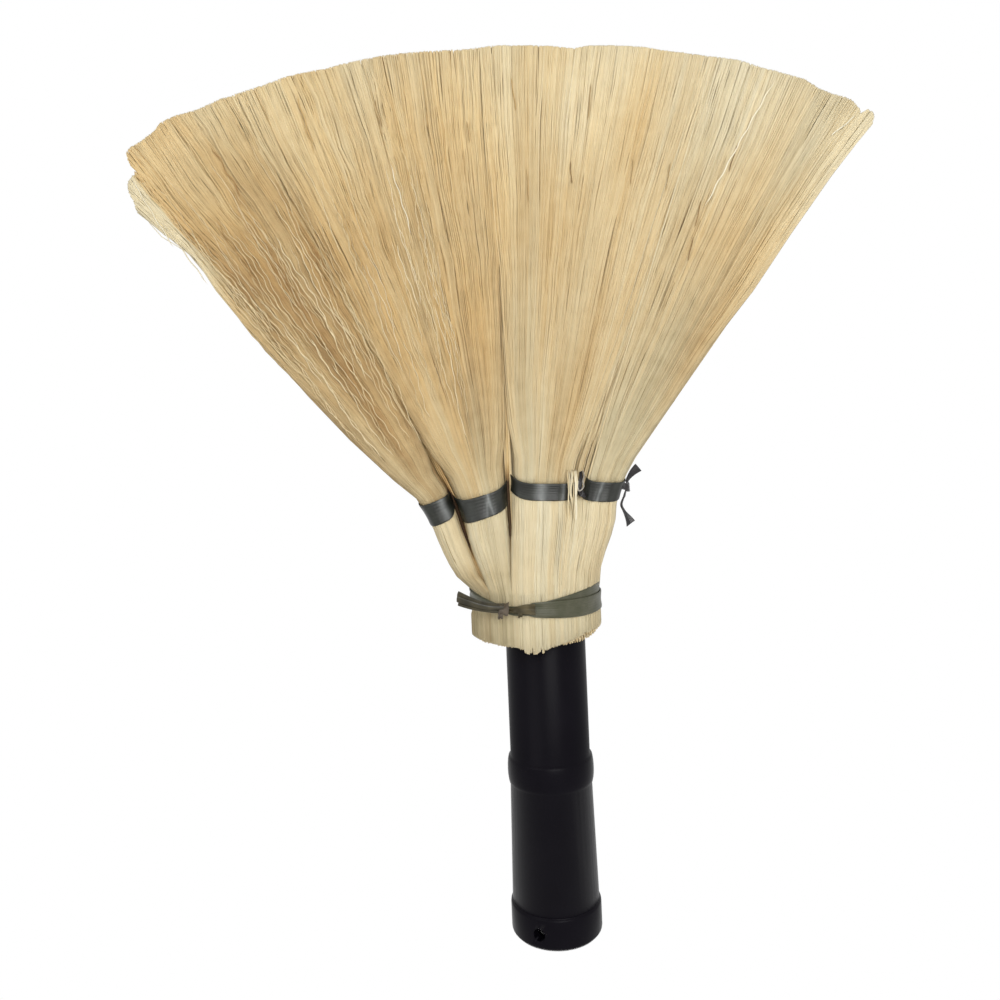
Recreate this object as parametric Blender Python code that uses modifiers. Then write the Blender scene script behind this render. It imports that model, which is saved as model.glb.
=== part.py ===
"""Ceiling broom head: a fan of straw fibre tied on a moulded plastic pole socket.

Metres, +Z up the socket's axis, +X to the right seen from the front, +Y to the back.
The origin is the centre of the socket's mouth, where the pole goes in.
"""

import math
from collections import namedtuple

import bmesh
import bpy
from mathutils import Matrix, Vector

# Fits, shared by all pieces
FIT_GAP = 0.0003
CUT_OVERRUN = 0.003
WELD_DISTANCE = 0.00001
TURN_STEPS = 48
SHARP_ANGLE = math.radians(35)

# Pole socket, from the mouth upwards
COLLAR_RADIUS = 0.0202
COLLAR_HEIGHT = 0.0135
COLLAR_EDGE = 0.0014
MOUTH_EDGE = 0.0008
TUBE_FOOT_RADIUS = 0.0194
TUBE_WAIST_RADIUS = 0.0183
TUBE_TOP_RADIUS = 0.0178
SPIGOT_EDGE = 0.0006
BEAD_RADIUS = 0.0193
BEAD_HEIGHT = 0.0125
BEAD_MIDDLE = 0.0715
BORE_MOUTH_RADIUS = 0.0155
BORE_END_RADIUS = 0.0148
BORE_DEPTH = 0.122
STOP_RING_HEIGHT = 0.003
STOP_RING_RADIUS = 0.0115
PLUG_BORE_RADIUS = 0.0148
SCREW_HOLE_RADIUS = 0.00265
SCREW_HOLE_RISE_SHARE = 0.46
SCREW_HOLE_TURN = math.radians(26)
EDGE_STEPS = 4
BEAD_STEPS = 8

# Wooden plug in the spigot
PLUG_RECESS = 0.001
PLUG_EDGE = 0.0007

# Fibre head: its butt plane and the round that the strap holds
BUTT_HEIGHT = 0.130
BUTT_EDGE = 0.0025
SPIGOT_IN_HEAD = 0.027
HEAD_OFFSET = -0.0038
HEAD_RADIUS = 0.0290
SLICE_GAP = 0.0004
CUT_SHARES = (-0.69, -0.36, 0.45)
CUT_SLANTS = (0.12, 0.05, 0.0)
CONTOUR_POINTS = 24
OPENING_SHARES = (0.2, 0.4, 0.6, 0.8)
EARLY_OPENING_POWER = 0.6

# Tape of both ties, and how it ends in a knot with cut tails
TAPE_THICKNESS = 0.0008
KNOT_SEAT_SHARE = 0.25
KNOT_ROUNDING_SHARE = 0.33
KNOT_PROFILE_SHARE = 0.5
TAIL_STEPS = 4

# Strap around the head
STRAP_RISE = 0.0175
STRAP_WIDTH = 0.0088
STRAP_SQUEEZE = 0.0005
STRAP_RUN = 0.0015
STRAP_KNOT_TURN = math.radians(-24)
STRAP_KNOT_LENGTH = 0.0062
STRAP_KNOT_HEIGHT = 0.0066
STRAP_KNOT_DEPTH = 0.0042
STRAP_TAIL_LENGTH = 0.0200
STRAP_TAIL_WIDTH = 0.0042
STRAP_TAIL_OUT_SHARES = (0.07, 0.16, 0.22)
STRAP_TAIL_UP_SHARES = (0.0, 0.11, 0.26)
STRAP_TAIL_CURVE_POWER = 1.5
STRAP_TAIL_ROLL_SHARE = 0.5

# Throat tie: one tape twined round the four bundles in a row
TIE_WIDTH = 0.0100
TIE_LAP_SHARE = 0.75
TIE_DEPTH = 0.0225
ROW_RISE = 0.0630
ROW_OFFSET = -0.0057
LEFT_OUTER_SET_BACK = 0.0025
TIE_SQUARENESS = 3.0
TIE_DIP = math.radians(12)
BORDER_LEANS = tuple(math.radians(lean) for lean in (-42, -18, 0, 10, 21))
FLARE_SHARE = 0.6
LEFT_OUTER_WIDTH = 0.0152
LEFT_INNER_WIDTH = 0.0229
RIGHT_INNER_WIDTH = 0.0288
RIGHT_OUTER_WIDTH = 0.0180
LEFT_OUTER_RISE = 0.0602
LEFT_INNER_RISE = 0.0616
RIGHT_INNER_RISE = 0.0670
RIGHT_OUTER_RISE = 0.0661
TIE_KNOT_TURN = math.radians(-20)
TIE_KNOT_SIGHT_TURN = math.radians(5)
TIE_KNOT_WIDTH = 0.0036
TIE_KNOT_HEIGHT = 0.0088
TIE_KNOT_DEPTH = 0.0026
TIE_TAIL_LENGTH = 0.0098
TIE_TAIL_ROOT_WIDTH = 0.0022
TIE_TAIL_TIP_WIDTH = 0.0056
TIE_TAIL_OUT_SHARE = 0.4
TIE_TAIL_ASIDE_SHARE = 0.3

# Bristles, from the bundle tops to the trimmed rim
BUNDLE_TOP_RISE = 0.0098
BRISTLE_ROOT_DEPTH = 0.0025
BRISTLE_ROWS = 5
BRISTLE_ROOT_RADIUS = 0.00040
BRISTLE_TIP_RADIUS = 0.00115
BRISTLE_INSET_SHARE = 0.96
ROUND_OFF_SHARE = 0.38
BUNDLE_TOP_SHARE = 0.92
BUNDLE_TOP_ROUNDING = 0.0020
STAGGER_START_SHARE = 0.3
COLUMN_SHIFT_SHARE = 0.382
ROW_SHIFT_SHARE = 0.4
FAN_DEPTH = 0.0200
FAN_POINT_OFFSET = -0.0107
FAN_POINT_RISE = 0.0010
FAN_ANGLES = tuple(math.radians(angle) for angle in (-39.0, -24.6, 0.0, 21.8, 37.1))
RIM_RADIUS = 0.4330
RIM_CREST_RISE = 0.2630
RIM_CREST_OFFSET = -0.0072
RIM_UNEVEN = 0.0016
LEFT_CORNER_DROP = 0.0300
LEFT_CORNER_ANGLE = math.radians(4.2)
RIGHT_CORNER_DROP = 0.0060
RIGHT_CORNER_ANGLE = math.radians(2.4)
CORNER_ROUNDING_POWER = 1.3

# A bundle's own values, left to right. The tape lies on it at a slope in degrees, and shows that
# share of its width where it isn't folded. settle_share is 0 where it opens at once above the strap.
Bundle = namedtuple("Bundle", "name width rise set_back slope tape_share columns settle_share")
BUNDLES = (
    Bundle("left_outer_bundle", LEFT_OUTER_WIDTH, LEFT_OUTER_RISE, LEFT_OUTER_SET_BACK, 17, 0.95, 13,
           0.0),
    Bundle("left_inner_bundle", LEFT_INNER_WIDTH, LEFT_INNER_RISE, 0.0, 14, 1.0, 19, 0.5),
    Bundle("right_inner_bundle", RIGHT_INNER_WIDTH, RIGHT_INNER_RISE, 0.0, -3, 0.75, 26, 1.0),
    Bundle("right_outer_bundle", RIGHT_OUTER_WIDTH, RIGHT_OUTER_RISE, 0.0, -5, 0.85, 17, 1.0),
)
LAST = len(BUNDLES) - 1

# What follows from the sizes above
TIE_GAP = 2 * FIT_GAP + (2 - TIE_LAP_SHARE) * TAPE_THICKNESS
STRAP_RADIUS = HEAD_RADIUS - STRAP_SQUEEZE
SPIGOT_TOP = BUTT_HEIGHT + SPIGOT_IN_HEAD
OPENING_START = STRAP_RISE + STRAP_WIDTH / 2 + STRAP_RUN


def linear(value):
    """One sRGB channel, 0 to 1, as Blender's linear light."""
    if value <= 0.04045:
        return value / 12.92
    return ((value + 0.055) / 1.055) ** 2.4


def make_material(name, hex_colour, roughness, metallic=0.0):
    channels = [int(hex_colour[i : i + 2], 16) / 255 for i in (0, 2, 4)]
    material = bpy.data.materials.new(name)
    material.use_nodes = True
    shader = material.node_tree.nodes["Principled BSDF"]
    shader.inputs["Base Color"].default_value = (*[linear(c) for c in channels], 1.0)
    shader.inputs["Roughness"].default_value = roughness
    shader.inputs["Metallic"].default_value = metallic
    material.diffuse_color = (*[linear(c) for c in channels], 1.0)
    return material


def make_collection(name):
    collection = bpy.data.collections.new(name)
    bpy.context.scene.collection.children.link(collection)
    return collection


def add_object(name, mesh, collection, parent, material=None):
    thing = bpy.data.objects.new(name, mesh)
    collection.objects.link(thing)
    thing.parent = parent
    if material is not None:
        mesh.materials.append(material)
    return thing


def add_empty(name, collection, parent, location):
    empty = bpy.data.objects.new(name, None)
    collection.objects.link(empty)
    empty.parent = parent
    empty.location = location
    return empty


def hide_helper(thing):
    """A cutter, or a shape that a union takes in: it isn't a piece by itself."""
    thing.hide_render = True
    thing.display_type = "WIRE"


def combine(target, other, operation):
    modifier = target.modifiers.new(other.name, "BOOLEAN")
    modifier.operation = operation
    modifier.solver = "EXACT"
    modifier.use_self = operation == "UNION"
    modifier.object = other
    hide_helper(other)


def smooth_mesh(mesh):
    mesh.shade_smooth()
    mesh.set_sharp_from_angle(angle=SHARP_ANGLE)


def arc(centre, radii, start, end, steps):
    """Points of an elliptic arc in the profile's plane, both ends in."""
    points = []
    for i in range(steps + 1):
        turn = start + (end - start) * i / steps
        points.append((centre[0] + radii[0] * math.cos(turn), centre[1] + radii[1] * math.sin(turn)))
    return points


def turned_mesh(name, profile):
    """A closed profile of (radius, height) that the Screw modifier turns."""
    mesh = bpy.data.meshes.new(name)
    verts = [(radius, 0.0, height) for radius, height in profile]
    edges = [(i, (i + 1) % len(profile)) for i in range(len(profile))]
    mesh.from_pydata(verts, edges, [])
    return mesh


def add_screw(thing):
    screw = thing.modifiers.new("turned", "SCREW")
    screw.axis = "Z"
    screw.steps = TURN_STEPS
    screw.render_steps = TURN_STEPS
    screw.use_merge_vertices = True
    screw.merge_threshold = WELD_DISTANCE
    screw.use_smooth_shade = True


def socket_profile():
    """The wall's outline: down the outside, across the mouth, up the bore and the plug's seat."""
    bead_low = BEAD_MIDDLE - BEAD_HEIGHT / 2
    bead_high = BEAD_MIDDLE + BEAD_HEIGHT / 2
    right, up, down = 0.0, math.pi / 2, -math.pi / 2
    edge = COLLAR_EDGE
    mouth = MOUTH_EDGE
    outside = arc((TUBE_TOP_RADIUS - SPIGOT_EDGE, SPIGOT_TOP - SPIGOT_EDGE), (SPIGOT_EDGE,) * 2,
                  up, right, EDGE_STEPS)
    outside.append((TUBE_TOP_RADIUS, bead_high))
    middle = (TUBE_WAIST_RADIUS, BEAD_MIDDLE)
    swell = (BEAD_RADIUS - TUBE_WAIST_RADIUS, BEAD_HEIGHT / 2)
    outside += arc(middle, swell, up, down, BEAD_STEPS)[1:]
    outside.append((TUBE_FOOT_RADIUS, COLLAR_HEIGHT))
    outside += arc((COLLAR_RADIUS - edge, COLLAR_HEIGHT - edge), (edge, edge), up, right, EDGE_STEPS)[1:]
    outside += arc((COLLAR_RADIUS - edge, edge), (edge, edge), right, down, EDGE_STEPS)
    inside = arc((BORE_MOUTH_RADIUS + mouth, mouth), (mouth, mouth), down, -math.pi, EDGE_STEPS)
    inside.append((BORE_END_RADIUS, BORE_DEPTH))
    inside.append((STOP_RING_RADIUS, BORE_DEPTH))
    inside.append((STOP_RING_RADIUS, BORE_DEPTH + STOP_RING_HEIGHT))
    inside.append((PLUG_BORE_RADIUS, BORE_DEPTH + STOP_RING_HEIGHT))
    inside.append((PLUG_BORE_RADIUS, SPIGOT_TOP))
    return outside + inside


def make_socket(collection, cutters, parent, material):
    socket = add_object("pole_socket", turned_mesh("pole_socket", socket_profile()), collection,
                        parent, material)
    add_screw(socket)
    reach = COLLAR_RADIUS - BORE_MOUTH_RADIUS + 2 * CUT_OVERRUN
    bm = bmesh.new()
    bmesh.ops.create_cone(bm, cap_ends=True, segments=TURN_STEPS // 2, radius1=SCREW_HOLE_RADIUS,
                          radius2=SCREW_HOLE_RADIUS, depth=reach)
    mesh = bpy.data.meshes.new("screw_hole_cutter")
    bm.to_mesh(mesh)
    bm.free()
    hole = add_object("screw_hole_cutter", mesh, cutters, parent)
    outward = Vector((-math.sin(SCREW_HOLE_TURN), -math.cos(SCREW_HOLE_TURN), 0.0))
    hole.location = outward * (COLLAR_RADIUS + BORE_MOUTH_RADIUS) / 2
    hole.location.z = COLLAR_HEIGHT * SCREW_HOLE_RISE_SHARE
    hole.rotation_euler = outward.to_track_quat("Z", "Y").to_euler()
    combine(socket, hole, "DIFFERENCE")
    return socket


def make_plug(collection, parent, material):
    """A turned dowel on the stop ring: it closes the tube behind the pole and backs the strap."""
    radius = PLUG_BORE_RADIUS - FIT_GAP
    foot = BORE_DEPTH + STOP_RING_HEIGHT + FIT_GAP
    length = SPIGOT_TOP - PLUG_RECESS - foot
    bm = bmesh.new()
    bmesh.ops.create_cone(bm, cap_ends=True, segments=TURN_STEPS, radius1=radius, radius2=radius,
                          depth=length)
    mesh = bpy.data.meshes.new("core_plug")
    bm.to_mesh(mesh)
    bm.free()
    plug = add_object("core_plug", mesh, collection, parent, material)
    plug.location.z = foot + length / 2
    rounding = plug.modifiers.new("edges", "BEVEL")
    rounding.width = PLUG_EDGE
    rounding.segments = 2
    rounding.limit_method = "ANGLE"
    smooth_mesh(mesh)
    return plug


def turns():
    return [2 * math.pi * i / CONTOUR_POINTS for i in range(CONTOUR_POINTS)]


def support(index, slant):
    """How far a tied bundle reaches from its middle, measured square to a slanted border."""
    power = TIE_SQUARENESS / (TIE_SQUARENESS - 1)
    across = (BUNDLES[index].width / 2) ** power
    deep = (slant * TIE_DEPTH / 2) ** power
    return (across + deep) ** (1 / power)


def row_middles():
    """The tied bundles' middles in plan, side by side with room for the tape between them."""
    middles = [0.0]
    for i, slant in enumerate(CUT_SLANTS):
        reach = support(i, slant) + support(i + 1, slant) + TIE_GAP * math.hypot(1, slant)
        step_back = BUNDLES[i + 1].set_back - BUNDLES[i].set_back
        middles.append(middles[-1] + reach + slant * step_back)
    left = middles[0] - BUNDLES[0].width / 2
    right = middles[-1] + BUNDLES[-1].width / 2
    shift = ROW_OFFSET - (left + right) / 2
    return [(x + shift, bundle.set_back) for x, bundle in zip(middles, BUNDLES)]


ROW_MIDDLES = row_middles()


def slice_point(turn, index, radius):
    """A point of bundle number index where the strap holds it: a slice of the head's round."""
    left = CUT_SHARES[index - 1] * HEAD_RADIUS if index > 0 else -radius
    right = CUT_SHARES[index] * HEAD_RADIUS if index < LAST else radius
    middle = (left + right) / 2
    nearest = min(abs(left), abs(right)) if left * right > 0 else 0.0
    depth = math.sqrt(radius**2 - nearest**2)
    ray = Vector(((right - left) / 2 * math.cos(turn), depth * math.sin(turn))).normalized()
    along = middle * ray.x
    reach = -along + math.sqrt(along**2 - middle**2 + radius**2)
    for side, cut in ((-1, index - 1), (1, index)):
        if not 0 <= cut < LAST:
            continue
        slant = CUT_SLANTS[cut]
        toward = ray.x - slant * ray.y
        if toward * side <= 0:
            continue
        border = CUT_SHARES[cut] * HEAD_RADIUS - side * SLICE_GAP / 2 * math.hypot(1, slant)
        reach = min(reach, (border - middle) / toward)
    return Vector((middle + ray.x * reach, ray.y * reach))


def squared(value):
    """A cosine or sine drawn out, so that a round becomes a round with flatter sides."""
    return math.copysign(abs(value) ** (2 / TIE_SQUARENESS), value)


def tie_point(turn, index, height, offset=0.0, share=1.0):
    """A point on a tied bundle, that far above the tape's middle and that far off the fibre."""
    middle_x, middle_y = ROW_MIDDLES[index]
    x = (BUNDLES[index].width / 2 + offset) * share * squared(math.cos(turn))
    y = (TIE_DEPTH / 2 + offset) * share * squared(math.sin(turn))
    return lean_out(index, middle_x + x, middle_y + y, height)


def half_tape(index):
    """Half the height that the tape covers on a bundle."""
    return TIE_WIDTH * BUNDLES[index].tape_share / 2


def lean_out(index, x, y, height):
    """Fibre runs outwards through the tie: the lean grows evenly across each bundle.

    It starts from one height for the whole row, so that neighbours keep their borders in common,
    and grows above the tape.
    """
    bundle = BUNDLES[index]
    middle_x, middle_y = ROW_MIDDLES[index]
    share = (x - middle_x) / bundle.width + 0.5
    left, right = math.tan(BORDER_LEANS[index]), math.tan(BORDER_LEANS[index + 1])
    lean = left + (right - left) * share
    slope = math.tan(math.radians(bundle.slope))
    level = bundle.rise + slope * (x - middle_x) + math.tan(TIE_DIP) * (y - middle_y)
    z = level + height
    above_tape = max(0.0, z - ROW_RISE - TIE_WIDTH / 2)
    return Vector((x + (z - ROW_RISE + above_tape * FLARE_SHARE) * lean, y, z))


def opening(index, share):
    """How far a bundle has gone from the round to its tied shape, at a share of the way up."""
    slow = (1 - math.cos(math.pi * share)) / 2
    fast = share**EARLY_OPENING_POWER
    settle = BUNDLES[index].settle_share
    return settle * slow + (1 - settle) * fast


def bundle_rings(index):
    """The bundle's sections from its butt to its top, each a closed ring of points."""
    half = STRAP_WIDTH / 2
    rings = []
    for height, radius in (
        (0.0, HEAD_RADIUS - BUTT_EDGE),
        (BUTT_EDGE, HEAD_RADIUS),
        (STRAP_RISE - half - STRAP_RUN, HEAD_RADIUS),
        (STRAP_RISE - half, STRAP_RADIUS),
        (STRAP_RISE + half, STRAP_RADIUS),
        (OPENING_START, HEAD_RADIUS),
    ):
        rings.append([slice_point(turn, index, radius).to_3d() + Vector((0, 0, height))
                      for turn in turns()])
    highest_round = rings[-1]
    under = half_tape(index) + STRAP_RUN
    lowest = [tie_point(turn, index, -under) for turn in turns()]
    for share in OPENING_SHARES:
        ring = []
        for start, end in zip(highest_round, lowest):
            way = opening(index, share)
            point = start.lerp(end, way)
            point.z = start.z + (end.z - start.z) * share
            ring.append(point)
        rings.append(ring)
    rings.append(lowest)
    rings.append([tie_point(turn, index, under) for turn in turns()])
    top = half_tape(index) + BUNDLE_TOP_RISE
    rings.append([tie_point(turn, index, top - BUNDLE_TOP_ROUNDING) for turn in turns()])
    rings.append([tie_point(turn, index, top, share=BUNDLE_TOP_SHARE) for turn in turns()])
    return rings


def loft_mesh(name, rings):
    """Sections of unlike shape joined ring to ring, closed at both ends."""
    bm = bmesh.new()
    layers = [[bm.verts.new(point) for point in ring] for ring in rings]
    count = len(rings[0])
    for low, high in zip(layers, layers[1:]):
        for i in range(count):
            j = (i + 1) % count
            bm.faces.new((low[i], low[j], high[j], high[i]))
    bm.faces.new(list(reversed(layers[0])))
    bm.faces.new(layers[-1])
    mesh = bpy.data.meshes.new(name)
    bm.to_mesh(mesh)
    bm.free()
    return mesh


def rim_point(angle, depth, uneven):
    """Where a ray from the fan's point meets the trimmed round rim, less the corner's rounding."""
    start = Vector((FAN_POINT_OFFSET, FAN_POINT_RISE))
    ray = Vector((math.sin(angle), math.cos(angle)))
    centre = Vector((RIM_CREST_OFFSET, RIM_CREST_RISE - RIM_RADIUS))
    away = start - centre
    along = away.dot(ray)
    reach = -along + math.sqrt(along**2 - away.length_squared + RIM_RADIUS**2)
    left_edge = max(0.0, 1 - (angle - FAN_ANGLES[0]) / LEFT_CORNER_ANGLE)
    right_edge = max(0.0, 1 - (FAN_ANGLES[-1] - angle) / RIGHT_CORNER_ANGLE)
    reach -= LEFT_CORNER_DROP * left_edge**CORNER_ROUNDING_POWER
    reach -= RIGHT_CORNER_DROP * right_edge**CORNER_ROUNDING_POWER
    reach -= RIM_UNEVEN * uneven
    return Vector((start.x + ray.x * reach, depth, start.y + ray.y * reach))


def bristle_ends(index, column, row):
    """A bristle's root inside the bundle's top and its tip on the rim.

    Rows and columns are staggered, and the square of places is rounded off to the bundle's oval.
    """
    bundle = BUNDLES[index]
    column_shift = (column * COLUMN_SHIFT_SHARE) % 1
    row_shift = (row * ROW_SHIFT_SHARE) % 1
    across = 2 * (column + STAGGER_START_SHARE + row_shift / 2) / bundle.columns - 1
    deep = 2 * (row + STAGGER_START_SHARE + column_shift / 2) / BRISTLE_ROWS - 1
    middle_x, middle_y = ROW_MIDDLES[index]
    x = across * math.sqrt(1 - ROUND_OFF_SHARE * deep**2) * bundle.width / 2 * BRISTLE_INSET_SHARE
    y = deep * math.sqrt(1 - ROUND_OFF_SHARE * across**2) * TIE_DEPTH / 2 * BRISTLE_INSET_SHARE
    top = half_tape(index) + BUNDLE_TOP_RISE
    root = lean_out(index, middle_x + x, middle_y + y, top - BRISTLE_ROOT_DEPTH)
    left, right = FAN_ANGLES[index], FAN_ANGLES[index + 1]
    angle = left + (right - left) * (across + 1) / 2
    uneven = ((column * BRISTLE_ROWS + row) * COLUMN_SHIFT_SHARE) % 1
    tip = rim_point(angle, deep * FAN_DEPTH / 2, uneven)
    return root, tip


def bristle_curve(index):
    """All bristles of a bundle as one curve object of straight four-sided strands."""
    curve = bpy.data.curves.new(f"{BUNDLES[index].name}_bristles", "CURVE")
    curve.dimensions = "3D"
    curve.bevel_depth = BRISTLE_ROOT_RADIUS
    curve.bevel_resolution = 0
    curve.use_fill_caps = True
    for column in range(BUNDLES[index].columns):
        for row in range(BRISTLE_ROWS):
            spline = curve.splines.new("POLY")
            spline.points.add(1)
            radii = (1.0, BRISTLE_TIP_RADIUS / BRISTLE_ROOT_RADIUS)
            for point, place, radius in zip(spline.points, bristle_ends(index, column, row), radii):
                point.co = (*place, 1.0)
                point.radius = radius
    return curve


def curve_to_mesh_object(curve, collection, parent):
    """The curve's evaluated shape as a mesh object with its caps welded."""
    source = add_object(curve.name, curve, collection, parent)
    bpy.context.view_layer.update()
    evaluated = source.evaluated_get(bpy.context.evaluated_depsgraph_get())
    mesh = bpy.data.meshes.new_from_object(evaluated)
    bm = bmesh.new()
    bm.from_mesh(mesh)
    bmesh.ops.remove_doubles(bm, verts=bm.verts, dist=WELD_DISTANCE)
    bm.to_mesh(mesh)
    bm.free()
    made = add_object(f"{curve.name}_mesh", mesh, collection, None)
    made.matrix_world = source.matrix_world
    bpy.data.objects.remove(source)
    return made


def make_spigot_cutter(cutters, parent):
    """The room that the spigot takes inside the fibre."""
    height = SPIGOT_IN_HEAD + FIT_GAP + CUT_OVERRUN
    radius = TUBE_TOP_RADIUS + FIT_GAP
    bm = bmesh.new()
    bmesh.ops.create_cone(bm, cap_ends=True, segments=TURN_STEPS, radius1=radius, radius2=radius,
                          depth=height)
    mesh = bpy.data.meshes.new("spigot_cutter")
    bm.to_mesh(mesh)
    bm.free()
    cutter = add_object("spigot_cutter", mesh, cutters, parent)
    cutter.location.z = SPIGOT_TOP + FIT_GAP - height / 2
    return cutter


def make_bundle(index, collection, cutters, head, spigot, material):
    name = BUNDLES[index].name
    mesh = loft_mesh(name, bundle_rings(index))
    smooth_mesh(mesh)
    bundle = add_object(name, mesh, collection, head, material)
    combine(bundle, curve_to_mesh_object(bristle_curve(index), cutters, head), "UNION")
    combine(bundle, spigot, "DIFFERENCE")
    return bundle


def band_mesh(name, low, high):
    """An open band between two rings of as many points, to be thickened outwards."""
    bm = bmesh.new()
    bmesh.ops.create_cone(bm, cap_ends=False, segments=len(low), radius1=1, radius2=1, depth=2)
    bm.verts.ensure_lookup_table()
    for vert in bm.verts:
        turn = math.atan2(vert.co.y, vert.co.x) % (2 * math.pi)
        place = round(turn / (2 * math.pi) * len(low)) % len(low)
        vert.co = low[place] if vert.co.z < 0 else high[place]
    bmesh.ops.recalc_face_normals(bm, faces=bm.faces)
    mesh = bpy.data.meshes.new(name)
    bm.to_mesh(mesh)
    bm.free()
    return mesh


def thicken(thing, offset):
    wall = thing.modifiers.new("tape", "SOLIDIFY")
    wall.thickness = TAPE_THICKNESS
    wall.offset = offset
    wall.use_even_offset = True


def ribbon_mesh(name, path, sides, widths):
    """A flat strip along the path: sides are its crosswise directions, widths its full widths."""
    count = len(path) - 1
    bm = bmesh.new()
    bmesh.ops.create_grid(bm, x_segments=count, y_segments=1, size=1)
    for vert in bm.verts:
        place = round((vert.co.x + 1) / 2 * count)
        vert.co = path[place] + sides[place] * widths[place] / 2 * vert.co.y
    mesh = bpy.data.meshes.new(name)
    bm.to_mesh(mesh)
    bm.free()
    return mesh


def add_knot(name, size, frame, cutters, head):
    """A tight lump of tape: a cube with well rounded edges, turned into its frame."""
    bm = bmesh.new()
    bmesh.ops.create_cube(bm, size=1, matrix=Matrix.Diagonal((*size, 1)))
    edges = list(bm.edges)
    rounding = min(size) * KNOT_ROUNDING_SHARE
    bmesh.ops.bevel(bm, geom=edges, offset=rounding, segments=2, profile=KNOT_PROFILE_SHARE,
                    affect="EDGES")
    mesh = bpy.data.meshes.new(name)
    bm.to_mesh(mesh)
    bm.free()
    knot = add_object(name, mesh, cutters, head)
    knot.matrix_local = frame
    return knot


def frame_of(origin, along, up):
    """A place with its X along, its Z up and its Y square to both."""
    across = up.cross(along)
    return Matrix.Translation(origin) @ Matrix((along, across, up)).transposed().to_4x4()


def make_strap(collection, cutters, head, material):
    inner = STRAP_RADIUS + FIT_GAP
    half = STRAP_WIDTH / 2
    low, high = [], []
    for i in range(TURN_STEPS):
        turn = 2 * math.pi * i / TURN_STEPS
        x, y = inner * math.cos(turn), inner * math.sin(turn)
        low.append(Vector((x, y, STRAP_RISE - half)))
        high.append(Vector((x, y, STRAP_RISE + half)))
    mesh = band_mesh("head_strap", low, high)
    mesh.shade_smooth()
    strap = add_object("head_strap", mesh, collection, head, material)
    thicken(strap, 1)

    out = Vector((math.sin(STRAP_KNOT_TURN), -math.cos(STRAP_KNOT_TURN), 0.0))
    up = Vector((0.0, 0.0, 1.0))
    along = up.cross(out)
    seat = TAPE_THICKNESS * KNOT_SEAT_SHARE
    centre = out * (inner + seat + STRAP_KNOT_DEPTH / 2) + up * STRAP_RISE
    size = (STRAP_KNOT_LENGTH, STRAP_KNOT_DEPTH, STRAP_KNOT_HEIGHT)
    knot = add_knot("strap_knot", size, frame_of(centre, along, up), cutters, head)
    combine(strap, knot, "UNION")

    for number, (outward_share, upward_share) in enumerate(
        zip(STRAP_TAIL_OUT_SHARES, STRAP_TAIL_UP_SHARES)
    ):
        path, sides, widths = [], [], []
        for step in range(TAIL_STEPS + 1):
            share = step / TAIL_STEPS
            rise = upward_share * share**STRAP_TAIL_CURVE_POWER
            roll = STRAP_TAIL_ROLL_SHARE * share
            way = out * outward_share * share - along * share + up * rise
            path.append(centre + way * STRAP_TAIL_LENGTH)
            sides.append((up * (1 - roll) + out * roll).normalized())
            widths.append(STRAP_TAIL_WIDTH)
        name = f"strap_tail_{number + 1}"
        tail = add_object(name, ribbon_mesh(name, path, sides, widths), cutters, head)
        thicken(tail, 0)
        combine(strap, tail, "UNION")
    return strap


def tie_band(name, index, collection, head, material=None):
    half = half_tape(index)
    low = [tie_point(turn, index, -half, FIT_GAP) for turn in turns()]
    high = [tie_point(turn, index, half, FIT_GAP) for turn in turns()]
    mesh = band_mesh(name, low, high)
    mesh.shade_smooth()
    band = add_object(name, mesh, collection, head, material)
    thicken(band, 1)
    return band


def make_tie(collection, cutters, head, material):
    tie = tie_band("throat_tie", 0, collection, head, material)
    for index in range(1, len(BUNDLES)):
        combine(tie, tie_band(f"tie_turn_{index + 1}", index, cutters, head), "UNION")

    foot = tie_point(TIE_KNOT_TURN, LAST, -half_tape(LAST), FIT_GAP)
    head_end = tie_point(TIE_KNOT_TURN, LAST, half_tape(LAST), FIT_GAP)
    ahead = tie_point(TIE_KNOT_TURN - TIE_KNOT_SIGHT_TURN, LAST, 0.0, FIT_GAP)
    centre = (foot + head_end) / 2
    up = (head_end - foot).normalized()
    along = (ahead - centre).normalized()
    along = (along - up * along.dot(up)).normalized()
    out = up.cross(along)
    centre = centre + out * (TIE_KNOT_DEPTH / 2 + TAPE_THICKNESS * KNOT_SEAT_SHARE)
    size = (TIE_KNOT_WIDTH, TIE_KNOT_DEPTH, TIE_KNOT_HEIGHT)
    knot = add_knot("tie_knot", size, frame_of(centre, along, up), cutters, head)
    combine(tie, knot, "UNION")

    for name, side in (("tie_tail_upper", 1), ("tie_tail_lower", -1)):
        path, sides, widths = [], [], []
        start = centre + up * side * TIE_KNOT_HEIGHT / 4
        for step in range(TAIL_STEPS + 1):
            share = step / TAIL_STEPS
            bend = out * TIE_TAIL_OUT_SHARE * share**2 + along * TIE_TAIL_ASIDE_SHARE * share
            path.append(start + (up * side * share + bend) * TIE_TAIL_LENGTH)
            sides.append((out - along).normalized())
            widths.append(TIE_TAIL_ROOT_WIDTH + (TIE_TAIL_TIP_WIDTH - TIE_TAIL_ROOT_WIDTH) * share)
        tail = add_object(name, ribbon_mesh(name, path, sides, widths), cutters, head)
        thicken(tail, 0)
        combine(tie, tail, "UNION")
    return tie


def clear_scene():
    for thing in list(bpy.data.objects):
        bpy.data.objects.remove(thing, do_unlink=True)


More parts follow.
